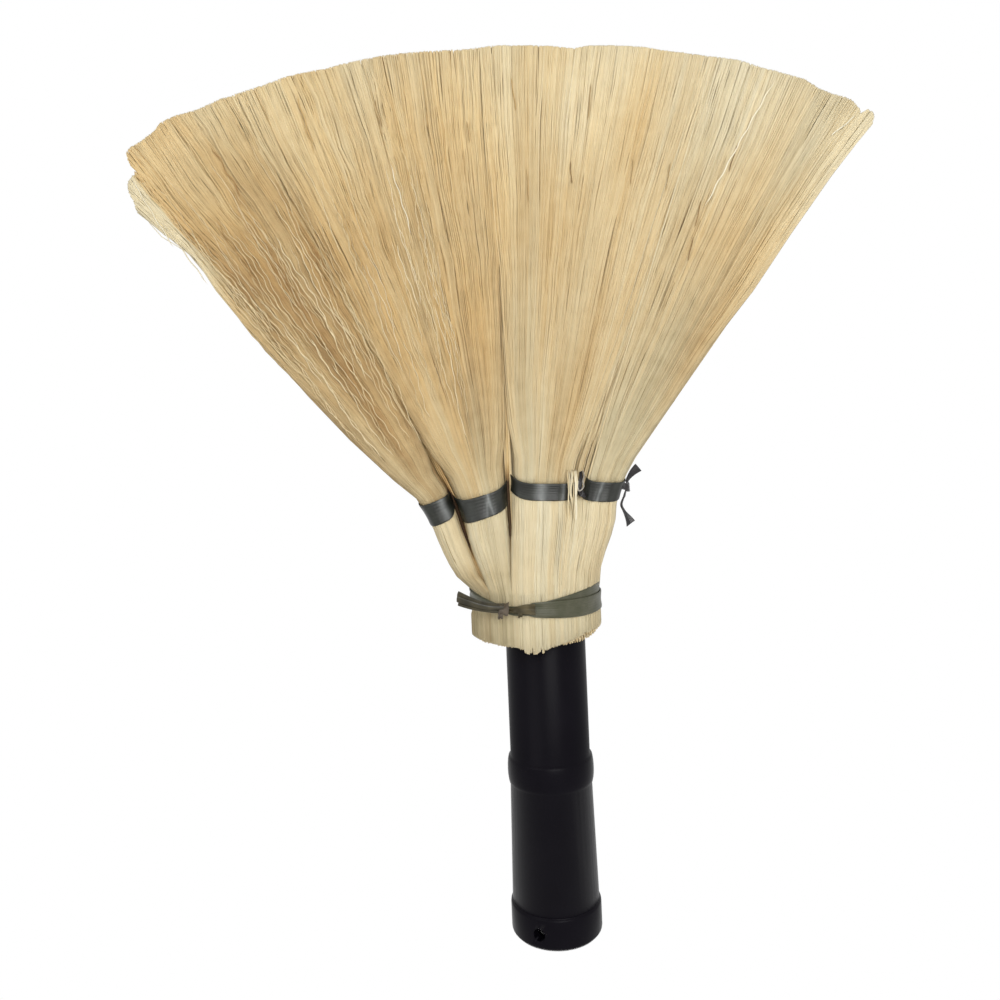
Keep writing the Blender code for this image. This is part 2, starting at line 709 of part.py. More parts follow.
def main():
    clear_scene()
    parts = make_collection("ceiling_broom")
    cutters = make_collection("cutters")

    socket_plastic = make_material("black polypropylene", "1B191E", 0.5)
    plug_wood = make_material("turned beech", "C8A26C", 0.65)
    straw = make_material("straw fibre", "DCC596", 0.75)
    tape = make_material("dark polypropylene tape", "4A4C47", 0.35)
    strap_tape = make_material("olive polypropylene tape", "66685A", 0.4)

    root = add_empty("broom_frame", parts, None, (0.0, 0.0, 0.0))
    head = add_empty("head_frame", parts, root, (HEAD_OFFSET, 0.0, BUTT_HEIGHT))

    make_socket(parts, cutters, root, socket_plastic)
    make_plug(parts, root, plug_wood)
    spigot = make_spigot_cutter(cutters, root)
    for index in range(len(BUNDLES)):
        make_bundle(index, parts, cutters, head, spigot, straw)
    make_strap(parts, cutters, head, strap_tape)
    make_tie(parts, cutters, head, tape)


main()
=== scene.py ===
"""Looks of the ceiling broom head: straw fibre, tapes, moulded socket and turned plug.

Metres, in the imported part's own frame: +Z up the socket's axis, -Y to the front.
Fibre and tape are placed in head coordinates, whose origin is the middle of the fibre's butt.
"""

import math
from collections import namedtuple

import bpy
import numpy as np
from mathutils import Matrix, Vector


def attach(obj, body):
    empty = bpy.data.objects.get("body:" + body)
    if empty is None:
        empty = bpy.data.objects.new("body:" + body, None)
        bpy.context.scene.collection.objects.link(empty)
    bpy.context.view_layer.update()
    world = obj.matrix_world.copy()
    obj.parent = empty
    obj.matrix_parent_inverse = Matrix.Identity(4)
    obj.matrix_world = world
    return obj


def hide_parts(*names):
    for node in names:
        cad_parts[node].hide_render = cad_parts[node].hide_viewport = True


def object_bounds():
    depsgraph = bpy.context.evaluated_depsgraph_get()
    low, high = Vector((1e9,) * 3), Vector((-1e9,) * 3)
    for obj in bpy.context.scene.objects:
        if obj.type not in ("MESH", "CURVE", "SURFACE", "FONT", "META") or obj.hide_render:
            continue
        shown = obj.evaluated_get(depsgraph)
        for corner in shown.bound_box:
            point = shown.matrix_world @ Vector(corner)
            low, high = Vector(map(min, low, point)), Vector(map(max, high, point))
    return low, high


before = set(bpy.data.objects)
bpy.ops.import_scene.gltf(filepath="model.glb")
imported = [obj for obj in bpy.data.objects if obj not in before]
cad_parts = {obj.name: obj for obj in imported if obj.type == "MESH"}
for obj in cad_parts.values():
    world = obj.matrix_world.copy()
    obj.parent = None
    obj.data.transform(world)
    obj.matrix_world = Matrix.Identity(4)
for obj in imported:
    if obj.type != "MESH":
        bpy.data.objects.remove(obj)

cad_low, cad_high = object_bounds()

MM_IN_METRE = 1000

# Camera, at the height of the tied row and turned a little about its own axis
CAMERA_TARGET = (-0.0178, 0.0, 0.192)
CAMERA_DISTANCE = 0.333
CAMERA_ROLL = math.radians(-2.38)
CAMERA_LENS_MM = 26.64
SENSOR_MM = 36
CAMERA_NEAREST = 0.01

# Fibre head, with the same sizes as the solids
HEAD_ORIGIN = np.array((-0.0038, 0.0, 0.130))
HEAD_RADIUS = 0.0290
SPIGOT_RADIUS = 0.0178
SPIGOT_IN_HEAD = 0.027
CUT_SHARES = (-0.69, -0.36, 0.45)
STRAP_RISE = 0.0175
STRAP_WIDTH = 0.0088
STRAP_RUN = 0.0015
STRAP_RADIUS = 0.0285
OPENING_START = STRAP_RISE + STRAP_WIDTH / 2 + STRAP_RUN
EARLY_OPENING_POWER = 0.6
TIE_WIDTH = 0.0100
TIE_DEPTH = 0.0225
TIE_GAP = 0.0016
TIE_SQUARENESS = 3.0
TIE_DIP = math.radians(12)
ROW_RISE = 0.0630
ROW_OFFSET = -0.0057
CUT_SLANTS = (0.12, 0.05, 0.0)
BORDER_LEANS = tuple(math.radians(lean) for lean in (-42, -18, 0, 10, 21))
LEFT_LOWER_LEAN = math.radians(-28)
FLARE_SHARE = 0.6
BUNDLE_TOP_RISE = 0.0098
ROUND_OFF_SHARE = 0.38
FAN_DEPTH = 0.0200
FAN_POINT_OFFSET = -0.0107
FAN_POINT_RISE = 0.0010
FAN_ANGLES = tuple(math.radians(angle) for angle in (-39.0, -24.6, 0.0, 21.8, 37.1))
RIM_RADIUS = 0.4330
RIM_CREST_RISE = 0.2622
RIM_CREST_OFFSET = -0.0072

# The trimmed rim: angle in degrees, and how far it stays inside the circle there, in millimetres
RIM_INSETS = (
    (-39.2, 35.0), (-38.6, 30.2), (-38.2, 24.2), (-37.7, 20.8), (-37.5, 20.6), (-37.15, 19.5),
    (-36.95, 21.5), (-36.8, 25.0), (-36.68, 17.5), (-36.5, 12.0), (-36.2, 8.8), (-35.6, 7.7),
    (-34.5, 7.2), (-33.1, 5.4), (-32.1, 3.0), (-30.6, 2.4), (-29.8, 2.8), (-28.3, 3.4), (-26.1, 2.4),
    (-24.3, 2.6), (-22.2, 2.4), (-20.2, 1.4), (-18.3, 1.3), (-16.0, 2.0), (-14.4, 1.5), (-10.5, 1.0),
    (-6.7, 1.7), (-2.8, 2.5), (1.1, 1.6), (6.0, 2.2), (8.0, 3.0), (9.5, 1.3), (10.7, 0.9),
    (14.5, 0.0), (16.4, 0.6), (20.1, 0.4), (23.8, -0.6), (26.0, 0.5), (27.6, 0.6), (30.0, 0.8),
    (31.5, 3.0), (33.0, 3.4), (33.9, 3.0), (34.6, 3.4), (35.1, 5.0), (35.5, 6.0), (35.8, 7.6),
    (36.1, 4.8), (36.6, 5.2), (36.9, 6.6), (37.15, 10.0), (37.4, 15.0),
)

# A bundle's own values, left to right. The first ones are its solid's sizes. A lock is a group of
# strands, lock its mean width in degrees of the fan and wave how far it waves. left_bow and right_bow
# are how far the bundle's sides stand out above the tie. tone and warmth start its colour there, and
# low_tone and low_warmth below it.
Bundle = namedtuple("Bundle", (
    "name node width rise set_back slope tape_share settle lock wave left_bow right_bow tone warmth "
    "low_tone low_warmth"
))
BUNDLES = (
    Bundle("left_outer", "left_outer_bundle", 0.0152, 0.0602, 0.0025, 17, 0.95, 0.0,
           1.5, 0.0011, 0.0016, 0.0022, 0.65, 0.72, 0.42, 0.28),
    Bundle("left_inner", "left_inner_bundle", 0.0229, 0.0616, 0.0, 14, 1.0, 0.5,
           1.3, 0.0008, 0.0024, 0.0022, 0.59, 0.72, 0.44, 0.04),
    Bundle("right_inner", "right_inner_bundle", 0.0288, 0.0670, 0.0, -3, 0.75, 1.0,
           1.0, 0.0005, 0.0022, 0.0022, 0.53, 0.54, 0.34, 0.20),
    Bundle("right_outer", "right_outer_bundle", 0.0180, 0.0661, 0.0, -5, 0.85, 1.0,
           0.9, 0.0003, 0.0022, -0.0008, 0.59, 0.38, 0.36, 0.26),
)
LAST = len(BUNDLES) - 1

# Strands above the tie. A layer is a part of the fan's depth, -1 at the front and 1 at the back, from
# its outer side to its inner side, with how many strands each bundle has there and how many points a
# strand has. crowding above 1 brings the strands towards the outer side.
Layer = namedtuple("Layer", "name outer inner strands points lock_rows crowding")
LAYERS = (
    Layer("front", -1.0, -0.72, (1050, 1450, 2100, 1200), (22, 18, 13, 14), 3, 2.0),
    Layer("inner", -0.72, 0.72, (1100, 1500, 2000, 1400), (8, 8, 7, 7), 4, 1.0),
    Layer("back", 1.0, 0.72, (700, 950, 1250, 900), (15, 13, 11, 11), 3, 2.0),
)
STRAND_RADII = (0.00027, 0.00028, 0.00030, 0.00031)
# The thinnest and the thickest strand, as shares of their radius
THICKNESSES = (0.7, 1.45)
LOOSE_THICKNESSES = (0.7, 1.3)
STRAND_SECTION = 3
ROOT_LEVELS = (-0.0040, 0.0070)
ROOT_INSET = 0.96
TIP_SHARE = 0.9965
# Steps that spread places evenly over a square
EVEN_STEP_X = 0.7548776662
EVEN_STEP_Y = 0.5698402910
BORDER_BLUR = math.radians(0.7)
SCATTER = math.radians(0.03)
DEPTH_SCATTER = 0.012
LOCK_WIDTH_SPREAD = 1.1
LOCK_PULL = 0.14
LOCK_PULL_HALF_WAVE = 0.9
LOCK_RELIEF = 0.00011
LOCK_RATE_SPREAD = 0.4
LOCK_START_SPREAD = 0.6
LOCK_TONES = 0.06
LOCK_WARMTHS = 0.22
LEAST_WAVE = 0.3
STRAND_WAVE = 0.0003
STRAND_WAVE_RATE = 1.5
STRAND_SINK = 0.00011
STRAND_TONES = 0.06
WAVE_LENGTH = 0.041
SWAY = 0.0030
SWAY_SHIFT = 3
TOP_HOLD = 0.35
CALM_FROM = 0.7
RIM_CALM = 0.6
BOW_POWER = 1.5
BOW_RISE_POWER = 0.42
TIP_UNEVEN = 0.00012
TUFT_DROP = 0.00012
TUFT_DEPTH = 4
SHORT_SHARE = 0.05
SHORT_DROP = 0.010
DENT_ANGLE = math.radians(-37.0)
DENT = 0.0044
DENT_SHARE = 0.81
DENT_LENGTH = 0.10

# Looks along those strands. The first three give places from 0 at the tie to 1 at the rim, with how
# thick, how much darker and how much cooler a strand is there. The flap is the fan's left edge.
THICKNESS_UP = ((0, 0.1, 0.5, 1.0), (0.75, 0.85, 1.0, 1.15))
DARKER_UP = ((0, 0.12, 0.3, 0.6, 1), (0.0, 0.02, 0.03, 0.0, -0.18))
COOLER_UP = ((0, 0.3, 0.75, 1), (0.40, 0.06, 0.0, 0.16))
ZONE_TONES = 0.17
ZONE_WARMTHS = 0.5
FLECK_SHARE = 0.05
FLECK_POINTS = 1.6
FLECK_TONES = (0.15, 0.45)
FLAP_ANGLE = math.radians(-37.15)
FLAP_RUN = (0.6, 0.75)
FLAP_LIGHTER = 0.10
FLAP_COOLER = 0.6

# Strands below the tie. The skin's strands have 13 points each, numbered from the butt. The rows give
# numbers of points with how far a strand waves and how much darker and cooler it is there. Where two
# bounds are given, each strand's own value lies between them.
SKIN_SHARES = (0.2, 0.4, 0.6, 0.8)
SKIN_INSET = 0.0003
SKIN_LAYERS = 0.0005
SKIN_DENSITY = 14500
SKIN_RADIUS = 0.00036
SKIN_GROUPS = 30
SKIN_WAVE = 0.0003
SKIN_WAVES = 1.2
SKIN_WAVE_UP = ((0, 3, 8, 11), (0.1, 0.2, 1.0, 0.2))
# Darker from the butt up past the strap: partly duller straw at the butt, partly painted shade round
# and just above the strap
SKIN_DULL_AND_SHADE_UP = ((0, 3, 5, 8, 11), (0.20, 0.20, 0.18, 0.06, 0.06))
SKIN_COOLER_UP = ((0, 4, 6), (0.18, 0.18, 0.0))
# Painted shade on the left of the butt, away from the key lamp: where it starts and where it is full,
# up to which point, and how much darker
LEFT_SKIN_SHADE_RUN = (0.006, 0.026)
LEFT_SKIN_SHADE_POINTS = 7
LEFT_SKIN_PAINTED_SHADE = 0.10
GROUP_TONES = 0.09
GROUP_WARMTHS = 0.3
SKIN_TONES = 0.05
DARK_STRAND_SHARE = 0.01
DARK_STRAND_TONE = 0.30
UNDER_TAPE_SHARE = 0.6
CORE_SIDES = 48
CORE_INSET = 0.0009
CORE_SET_BACK = 0.002
CORE_TONE = 0.55
CORE_WARMTH = 0.5
SPIGOT_ROOM = 0.0003
SPIGOT_ROOM_ABOVE = 0.0004
SPIGOT_ROOM_SIDES = 64

# The cut butt: where its slanted side starts and how far it rises there, and the teeth of its front
BUTT_UNEVENNESS = 0.0012
BUTT_END_STEP = 0.0003
SLANT_RADIUS = 0.0215
SIDE_SLANT = 0.0015
RIGHT_SLANT = 0.0048
RIGHT_SLANT_RUN = (0.008, 0.024)
RIGHT_SLANT_POWER = 0.7
LEFT_SLANT = 0.0018
LEFT_SLANT_RUN = (0.012, 0.026)
TOOTH_WIDTH = 0.0009
TOOTH_DROP = 0.0026
TEETH_MIDDLE = -0.0015
TEETH_REACH = 0.0064
TEETH_UNEVENNESS = 1.2

# Cut ends round the socket: the ring that they stand in, and how far up each of their points is
STUBS = 1500
STUB_RING = (0.0187, 0.0284)
STUB_HEIGHTS = (0.0, BUTT_END_STEP, 0.004, 0.009)
STUB_THICKNESSES = (0.0, 1.0, 1.0, 0.0)
STUB_UNEVENNESS = 0.0014
STUB_LEAN = 0.0006
STUB_TONES = (0.335, 0.585)
STUB_WARMTHS = (0.3, 0.7)

# Strands between two bundles: how far to the front they reach above the tie, from -1 to 1, and how
# many there are. The last two bundles also share a smooth front and back below the tie.
Between = namedtuple("Between", "front strands shared")
BETWEENS = (Between(-0.35, 380, 0), Between(-0.50, 380, 0), Between(-0.85, 380, 620))
BETWEEN_BACK = 0.9
BETWEEN_POINTS = 9
BETWEEN_START = 0.06
BETWEEN_INSET = 0.0012
BETWEEN_BUTT = 0.0008
BETWEEN_RISE = 0.002
BETWEEN_TIP_UNEVEN = 0.001
BETWEEN_WAVES = 3
BETWEEN_TONES = 0.16
BETWEEN_WARMTHS = 0.3
# Painted shade in the crevices round the tie: how much darker the crevice strands are at their points,
# and up to which share across, from the left bundle, they are darker
CREVICE_SHADE_UP = ((7, 9, 12, 14), (0, 0.7, 0.7, 0))
CREVICE_SHADE_SIDE = 0.55
SHARED_FRONT_SHARE = 0.6
SHARED_DEPTHS = (0.62, 0.98)
SHARED_INSETS = (0.0002, 0.0012)
SHARED_GATHERS = (0.85, 0.6)
SHARED_SWELL_UP = ((5, 7, 9, 10), (0.0, 0.0009, 0.0006, 0.0))

# Single strands that lie on the fan's front: angle and distance from the fan's point at the lower and
# the upper end, thickness, wave in millimetres, tone and warmth
LAID_STRANDS = (
    (-11.71, 182, -12.17, 214, 0.30, 0.30, 0.06, 0.4),
    (26.22, 205, 27.44, 270, 0.34, 0.25, -0.10, 0.5),
    (-38.50, 226, -37.25, 261, 0.34, 0.20, 0.10, 0.2),
    (-38.30, 204, -37.70, 240, 0.28, 0.20, 0.24, 0.2),
    (-11.99, 230, -12.02, 243, 0.24, 0.20, 0.76, 0.6),
    (-12.20, 226, -12.25, 240, 0.20, 0.20, 0.70, 0.6),
    (2.67, 230, 2.14, 245, 0.24, 0.10, 0.68, 0.9),
    (-2.64, 217, -2.76, 227, 0.22, 0.10, 0.76, 0.7),
    (4.42, 190, 3.94, 206, 0.20, 0.10, 0.72, 0.7),
    (9.64, 200, 9.16, 210, 0.22, 0.10, 0.84, 0.6),
    (10.53, 228, 10.31, 245, 0.22, 0.10, 0.74, 0.6),
    (16.84, 204, 16.36, 216, 0.20, 0.10, 0.78, 0.6),
    (21.10, 206, 20.61, 219, 0.20, 0.10, 0.74, 0.6),
    (27.11, 224, 26.71, 237, 0.24, 0.10, 0.86, 0.6),
    (26.13, 196, 25.51, 208, 0.22, 0.10, 0.80, 0.7),
    (27.13, 181, 26.40, 192, 0.24, 0.10, 0.84, 0.7),
    (-19.68, 232, -19.33, 255, 0.30, 0.30, 0.60, 0.9),
    (-19.90, 228, -19.75, 248, 0.26, 0.30, 0.56, 0.9),
    (-19.78, 173, -19.17, 199, 0.30, 0.40, 0.60, 0.9),
    (-20.10, 178, -19.60, 203, 0.26, 0.40, 0.58, 0.9),
    (34.60, 259, 35.55, 273, 0.30, 0.20, 0.20, 0.0),
    (-29.15, 226, -29.11, 252, 0.34, 0.50, 0.72, 0.9),
    (-29.82, 172, -29.59, 208, 0.34, 0.50, 0.74, 0.8),
    (-33.20, 190, -33.00, 226, 0.34, 0.50, 0.70, 0.9),
)
LAID_POINTS = 40
LAID_WAVE_LENGTH = 0.011
LAID_LIFT = 0.0006
LAID_ENDS = (0.12, 0.88)
FRONT_START_SHARE = 2 / 7

# Fine strands with a close crimp on the fan's left half: ranges of degrees, of the shares of the way up
# where they start and how far they run, and of how far they stand off the front
CRIMPED_STRANDS = 120
CRIMPED_POINTS = 36
CRIMPED_RADIUS = 0.00018
CRIMPED_ANGLES = (-37.0, -8.0)
CRIMPED_ANGLE_POWER = 1.3
CRIMPED_STARTS = (0.34, 0.69)
CRIMPED_RUNS = (0.10, 0.30)
CRIMPED_LIFTS = (0.0003, -0.0003)
CRIMPED_ENDS = (0.06, 0.94)
CRIMP_LENGTH = 0.0095
CRIMP_REACHES = (0.00012, 0.00042)
CRIMPED_SWAY_LENGTH = 0.045
CRIMPED_SWAY = 0.0008
CRIMPED_TONES = (0.22, 0.52)
CRIMPED_WARMTH = 0.55

# Pale wisps pulled out over the tape between the right two bundles. Their middle line is in
# millimetres, and their spread says how wide they lie at places from 0 to 1 along it.
WISPS = 13
WISP_POINTS = 18
WISP_RADIUS = 0.00034
WISP_ENDS = (0.1, 0.8)
WISP_SPREAD = ((0, 0.3, 0.7, 1), (0.0036, 0.0040, 0.0034, 0.0016))
WISP_WAVE = 0.0003
WISP_WAVES = 1.5
WISP_BULGE = 0.0009
WISP_LENGTHS = (0.62, 1.02)
WISP_TONES = (0.10, 0.45)
WISP_WARMTHS = (0.1, 0.5)
WISP_LINE = (
    (17.8, -10.2, 74.0), (17.6, -12.4, 70.0), (17.4, -13.4, 65.5), (17.1, -13.4, 59.0),
    (17.2, -12.6, 54.0), (17.4, -11.4, 49.0), (17.6, -10.6, 45.0),
)

# Where the random draws of each group of strands start
FAN_SEED = 11
LAYER_SEED_STEP = 7
SKIN_SEED = 31
BETWEEN_SEED = 61
SHARED_SEED = 71
CRIMPED_SEED = 51
STUB_SEED = 52
WISP_SEED = 53

# Tape
TAPE_THICKNESS = 0.0005
TAPE_RIBS = 7
TAPE_LANES = 6
TIE_TURN_POINTS = 161
TIE_TURN_LIFT = 0.0005
TIE_TURN_CUP = 0.0004
TIE_TURN_SIDE_POWER = 3
STRAP_TURN_POINTS = 97
STRAP_TURN_CROWN = 0.0003
STRAP_FOLDS = 5
STRAP_FOLD_SLANT = 0.8
LENGTH_POINTS = 28
KNOTTED_LENGTH_POINTS = 36
LENGTH_PLEAT = 0.00025
LENGTH_RIPPLE = 9
FRAY_POWER = 4

# How near together two points are joined: in fibre, in a closed turn of tape, in finished tape, and in
# the socket
FIBRE_WELD = 0.0000005
TURN_WELD = 0.000001
TAPE_WELD = 0.0000001
SOCKET_WELD = 0.000005
SOCKET_SMOOTH_ANGLE = math.radians(30)

# Floor and light; the floor inside the socket's mouth stays in its own shade
FLOOR_SIZE = 6
FLOOR_GAP = 0.0004
WORLD_STRENGTH = 0.54
MOUTH_SHADE_RADIUS = 0.019
Lamp = namedtuple("Lamp", "name place size power")
LAMPS = (
    Lamp("key_lamp", (0.25, -1.5, 0.55), 0.9, 12.8),
    Lamp("fill_lamp", (-1.2, -1.2, 1.0), 1.1, 4.5),
    Lamp("back_lamp", (0.4, 1.5, 1.3), 1.0, 5.6),
)
LAMP_AIM = (0.0, 0.0, 0.22)


def select_only(thing):
    bpy.ops.object.select_all(action="DESELECT")
    thing.select_set(True)
    bpy.context.view_layer.objects.active = thing


def finish_piece(thing, slot, *nodes):
    """The piece rides on the part and stands for these solids, which it hides; slot is not used."""
    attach(thing, "root")
    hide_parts(*nodes)
    return thing


def add_object(name, data):
    thing = bpy.data.objects.new(name, data)
    bpy.context.scene.collection.objects.link(thing)
    return thing


def give_material(mesh, material):
    mesh.materials.clear()
    mesh.materials.append(material)


# Colours and materials


def linear(value):
    """One sRGB channel, 0 to 1, as linear light."""
    return value / 12.92 if value <= 0.04045 else ((value + 0.055) / 1.055) ** 2.4


def colour(hex_value):
    return (*[linear(int(hex_value[i : i + 2], 16) / 255) for i in (0, 2, 4)], 1.0)


def add_node(owner, kind, links=None, **settings):
    """A node of a material or of the world, with its settings.

    links gives an input's name a number, a colour or another node's output.
    """
    tree = owner.node_tree
    node = tree.nodes.new(kind)
    for name, value in settings.items():
        setattr(node, name, value)
    for name, value in (links or {}).items():
        socket = node.inputs[name]
        if isinstance(value, bpy.types.NodeSocket):
            tree.links.new(value, socket)
        else:
            socket.default_value = value
    return node


# Each of these gives the output of the node that it adds


def math_node(owner, operation, *values, clamp=False):
    links = dict(enumerate(values))
    return add_node(owner, "ShaderNodeMath", links, operation=operation, use_clamp=clamp).outputs[0]


def value_node(owner, name):
    """A value that the points of a piece carry."""
    return add_node(owner, "ShaderNodeAttribute", attribute_name=name).outputs["Fac"]


def place_node(owner):
    """Places in the piece's own coordinates."""
    return add_node(owner, "ShaderNodeTexCoord").outputs["Object"]


def noise_node(owner, size, detail):
    """Noise whose spots have that size in metres."""
    links = {"Vector": place_node(owner), "Scale": 1 / size, "Detail": detail}
    return add_node(owner, "ShaderNodeTexNoise", links).outputs["Fac"]


def mix_node(owner, factor, first, second):
    links = {"Factor": factor, "A": first, "B": second}
    return add_node(owner, "ShaderNodeMix", links, data_type="RGBA").outputs["Result"]


def bump_node(owner, height, distance, strength):
    links = {"Height": height, "Distance": distance, "Strength": strength}
    return add_node(owner, "ShaderNodeBump", links).outputs["Normal"]


def ramp_node(owner, factor, places, hex_values):
    """Colours between named places, chosen by a factor."""
    node = add_node(owner, "ShaderNodeValToRGB", {"Fac": factor})
    elements = node.color_ramp.elements
    while len(elements) < len(places):
        elements.new(0.5)
    for element, place, hex_value in zip(elements, places, hex_values):
        element.position = place
        element.color = colour(hex_value)
    return node.outputs["Color"]


def new_material(name, roughness, **values):
    """A Principled material; values are its other sockets, named with underscores for spaces."""
    material = bpy.data.materials.new(name)
    material.use_nodes = True
    shader = material.node_tree.nodes["Principled BSDF"]
    shader.inputs["Roughness"].default_value = roughness
    for key, value in values.items():
        shader.inputs[key.replace("_", " ")].default_value = value
    return material, shader


def feed(owner, shader, **outputs):
    """Links outputs to a shader's sockets, named in the same way."""
    for key, output in outputs.items():
        owner.node_tree.links.new(output, shader.inputs[key.replace("_", " ")])


WHITE = colour("FFFFFF")


def straw_material():
    """Dried broom straw: matte and silky, in clear cream to tan.

    Some stalks look greenish grey and some orange, and each is a little mottled.
    """
    material, shader = new_material("dried_straw", 0.65, Specular_IOR_Level=0.2)
    mottling = 0.14
    mottle = noise_node(material, 0.006, 3.0)
    shifted = math_node(material, "MULTIPLY_ADD", mottle, mottling, value_node(material, "tone"))
    tone = math_node(material, "SUBTRACT", shifted, mottling / 2)
    places = (0.0, 0.35, 0.6, 0.8, 1.0)
    cool = ramp_node(material, tone, places, ("F7F2DF", "E5DBBD", "CDC09D", "A0906B", "5A4A33"))
    warm = ramp_node(material, tone, places, ("FAECC8", "ECD29B", "D2AF75", "A47B4A", "4C3424"))
    feed(material, shader, Base_Color=mix_node(material, value_node(material, "warmth"), cool, warm))
    return material


def tape_material(name, dark, light, roughness, gloss=0.45):
    """Extruded polypropylene tape: a soft gloss, fine ribs along it, and a pale grey mixed in where its
    points ask for it: painted highlights on the tie's folds, paler frayed edges on the strap's tails.
    """
    material, shader = new_material(name, roughness, Specular_IOR_Level=gloss)
    cloud = noise_node(material, 0.005, 4.0)
    body = ramp_node(material, cloud, (0.35, 0.7), (dark, light))
    uneven = math_node(material, "MULTIPLY", cloud, value_node(material, "worn"))
    pale = math_node(material, "MULTIPLY", uneven, 2.0, clamp=True)
    lie = add_node(material, "ShaderNodeUVMap", uv_map="UVMap")
    split = add_node(material, "ShaderNodeSeparateXYZ", {"Vector": lie.outputs["UV"]})
    turns = math_node(material, "MULTIPLY", split.outputs["Y"], TAPE_RIBS * 2 * math.pi)
    ribs = math_node(material, "SINE", turns)
    height = math_node(material, "MULTIPLY_ADD", noise_node(material, 0.0015, 2.0), 1.6, ribs)
    feed(material, shader,
         Base_Color=mix_node(material, pale, body, colour("7C7F7D")),
         Normal=bump_node(material, height, 0.00003, 0.6))
    return material


def socket_material():
    """Moulded black polypropylene with a fine spark-eroded grain, a little violet, satin."""
    material, shader = new_material("moulded_polypropylene", 0.42, Specular_IOR_Level=0.05)
    cloud = noise_node(material, 0.02, 4.0)
    gloss = add_node(material, "ShaderNodeMapRange", {"Value": cloud, "To Min": 0.26, "To Max": 0.38})
    feed(material, shader,
         Base_Color=ramp_node(material, cloud, (0.3, 0.75), ("0B090F", "100E14")),
         Roughness=gloss.outputs["Result"],
         Normal=bump_node(material, noise_node(material, 0.0009, 2.0), 0.00005, 0.5))
    return material


def beech_material():
    """Turned beech, unvarnished: rings across the dowel's end, drawn out as grain along its side."""
    material, shader = new_material("turned_beech", 0.62)
    ring_width = 0.0024
    stretched = add_node(material, "ShaderNodeMapping",
                         {"Vector": place_node(material), "Location": (0.012, 0.02, 0.0),
                          "Scale": (1.0, 1.0, 0.06)})
    rings = add_node(material, "ShaderNodeTexWave",
                     {"Vector": stretched.outputs["Vector"], "Scale": 1 / ring_width / 6.28,
                      "Distortion": 1.6, "Detail": 2.0, "Detail Scale": 2.0},
                     wave_type="RINGS", rings_direction="Z")
    wood = ramp_node(material, rings.outputs["Fac"], (0.0, 1.0), ("C79C69", "DCB988"))
    feed(material, shader, Base_Color=wood)
    return material


# Small sums, on numbers or on arrays


def wave_at(turns):
    """A wave of height 1, after that many of its lengths."""
    return np.sin(2 * math.pi * turns)


def ramp(value, start, end):
    """0 up to one value and 1 from another one on, with an even slope between."""
    return np.clip((value - start) / (end - start), 0, 1)


def within(bounds, draws):
    """Draws from 0 to 1 as values between two bounds."""
    low, high = bounds
    return low + (high - low) * draws


def either_side(width, draws):
    """Draws from 0 to 1 as values either side of 0, that far apart in all."""
    return width * (draws - 0.5)


def even_shares(count, step):
    """Shares from 0 to 1, spread evenly in an order that makes no rows."""
    return (np.arange(count) * step) % 1


def pointed(share, ends):
    """Thickness along a strand with two points, full between its ends."""
    return np.interp(share, (0, *ends, 1), (0, 1, 1, 0))


def closed_ends(profile):
    """Thickness along a strand whose first and last points close it."""
    profile[[0, -1]] = 0.0
    return profile


# Where the fibre lies, in head coordinates: these take arrays, and give points as rows


def support(index, slant):
    """How far a tied bundle reaches from its middle, measured square to a slanted border."""
    power = TIE_SQUARENESS / (TIE_SQUARENESS - 1)
    return ((BUNDLES[index].width / 2) ** power + (slant * TIE_DEPTH / 2) ** power) ** (1 / power)


def row_middles():
    """The tied bundles' middles in plan, side by side with room for the tape between them."""
    middles = [0.0]
    for i, slant in enumerate(CUT_SLANTS):
        reach = support(i, slant) + support(i + 1, slant) + TIE_GAP * math.hypot(1, slant)
        step_back = BUNDLES[i + 1].set_back - BUNDLES[i].set_back
        middles.append(middles[-1] + reach + slant * step_back)
    left = middles[0] - BUNDLES[0].width / 2
    right = middles[-1] + BUNDLES[-1].width / 2
    shift = ROW_OFFSET - (left + right) / 2
    return [(x + shift, bundle.set_back) for x, bundle in zip(middles, BUNDLES)]


ROW_MIDDLES = row_middles()


def half_tape(index):
    return TIE_WIDTH * BUNDLES[index].tape_share / 2


def lean_out(index, x, y, height):
    """Fibre runs outwards through the tie, and flares above the tape."""
    bundle = BUNDLES[index]
    middle_x, middle_y = ROW_MIDDLES[index]
    share = (x - middle_x) / bundle.width + 0.5
    left, right = math.tan(BORDER_LEANS[index]), math.tan(BORDER_LEANS[index + 1])
    lean = left + (right - left) * share
    slope = math.tan(math.radians(bundle.slope))
    z = bundle.rise + slope * (x - middle_x) + math.tan(TIE_DIP) * (y - middle_y) + height
    above_tape = np.maximum(0.0, z - ROW_RISE - TIE_WIDTH / 2)
    x = x + (z - ROW_RISE + above_tape * FLARE_SHARE) * lean
    if index == 0:
        x = x + np.minimum(0.0, z - ROW_RISE) * (math.tan(LEFT_LOWER_LEAN) - left) * (1 - share)
    return np.stack((x, y + 0 * z, z), axis=-1)


def squared(value):
    """A cosine or sine drawn out, so that a round becomes a round with flatter sides."""
    return np.copysign(np.abs(value) ** (2 / TIE_SQUARENESS), value)


def squared_turn(deep):
    """The turn at which a squared round is that deep."""
    return np.arcsin(np.copysign(np.abs(deep) ** (TIE_SQUARENESS / 2), deep))


def tie_point(turn, index, height, offset=0.0):
    """A point on a tied bundle, that far above the tape's middle and that far off the fibre."""
    middle_x, middle_y = ROW_MIDDLES[index]
    x = (BUNDLES[index].width / 2 + offset) * squared(np.cos(turn))
    y = (TIE_DEPTH / 2 + offset) * squared(np.sin(turn))
    return lean_out(index, middle_x + x, middle_y + y, height)


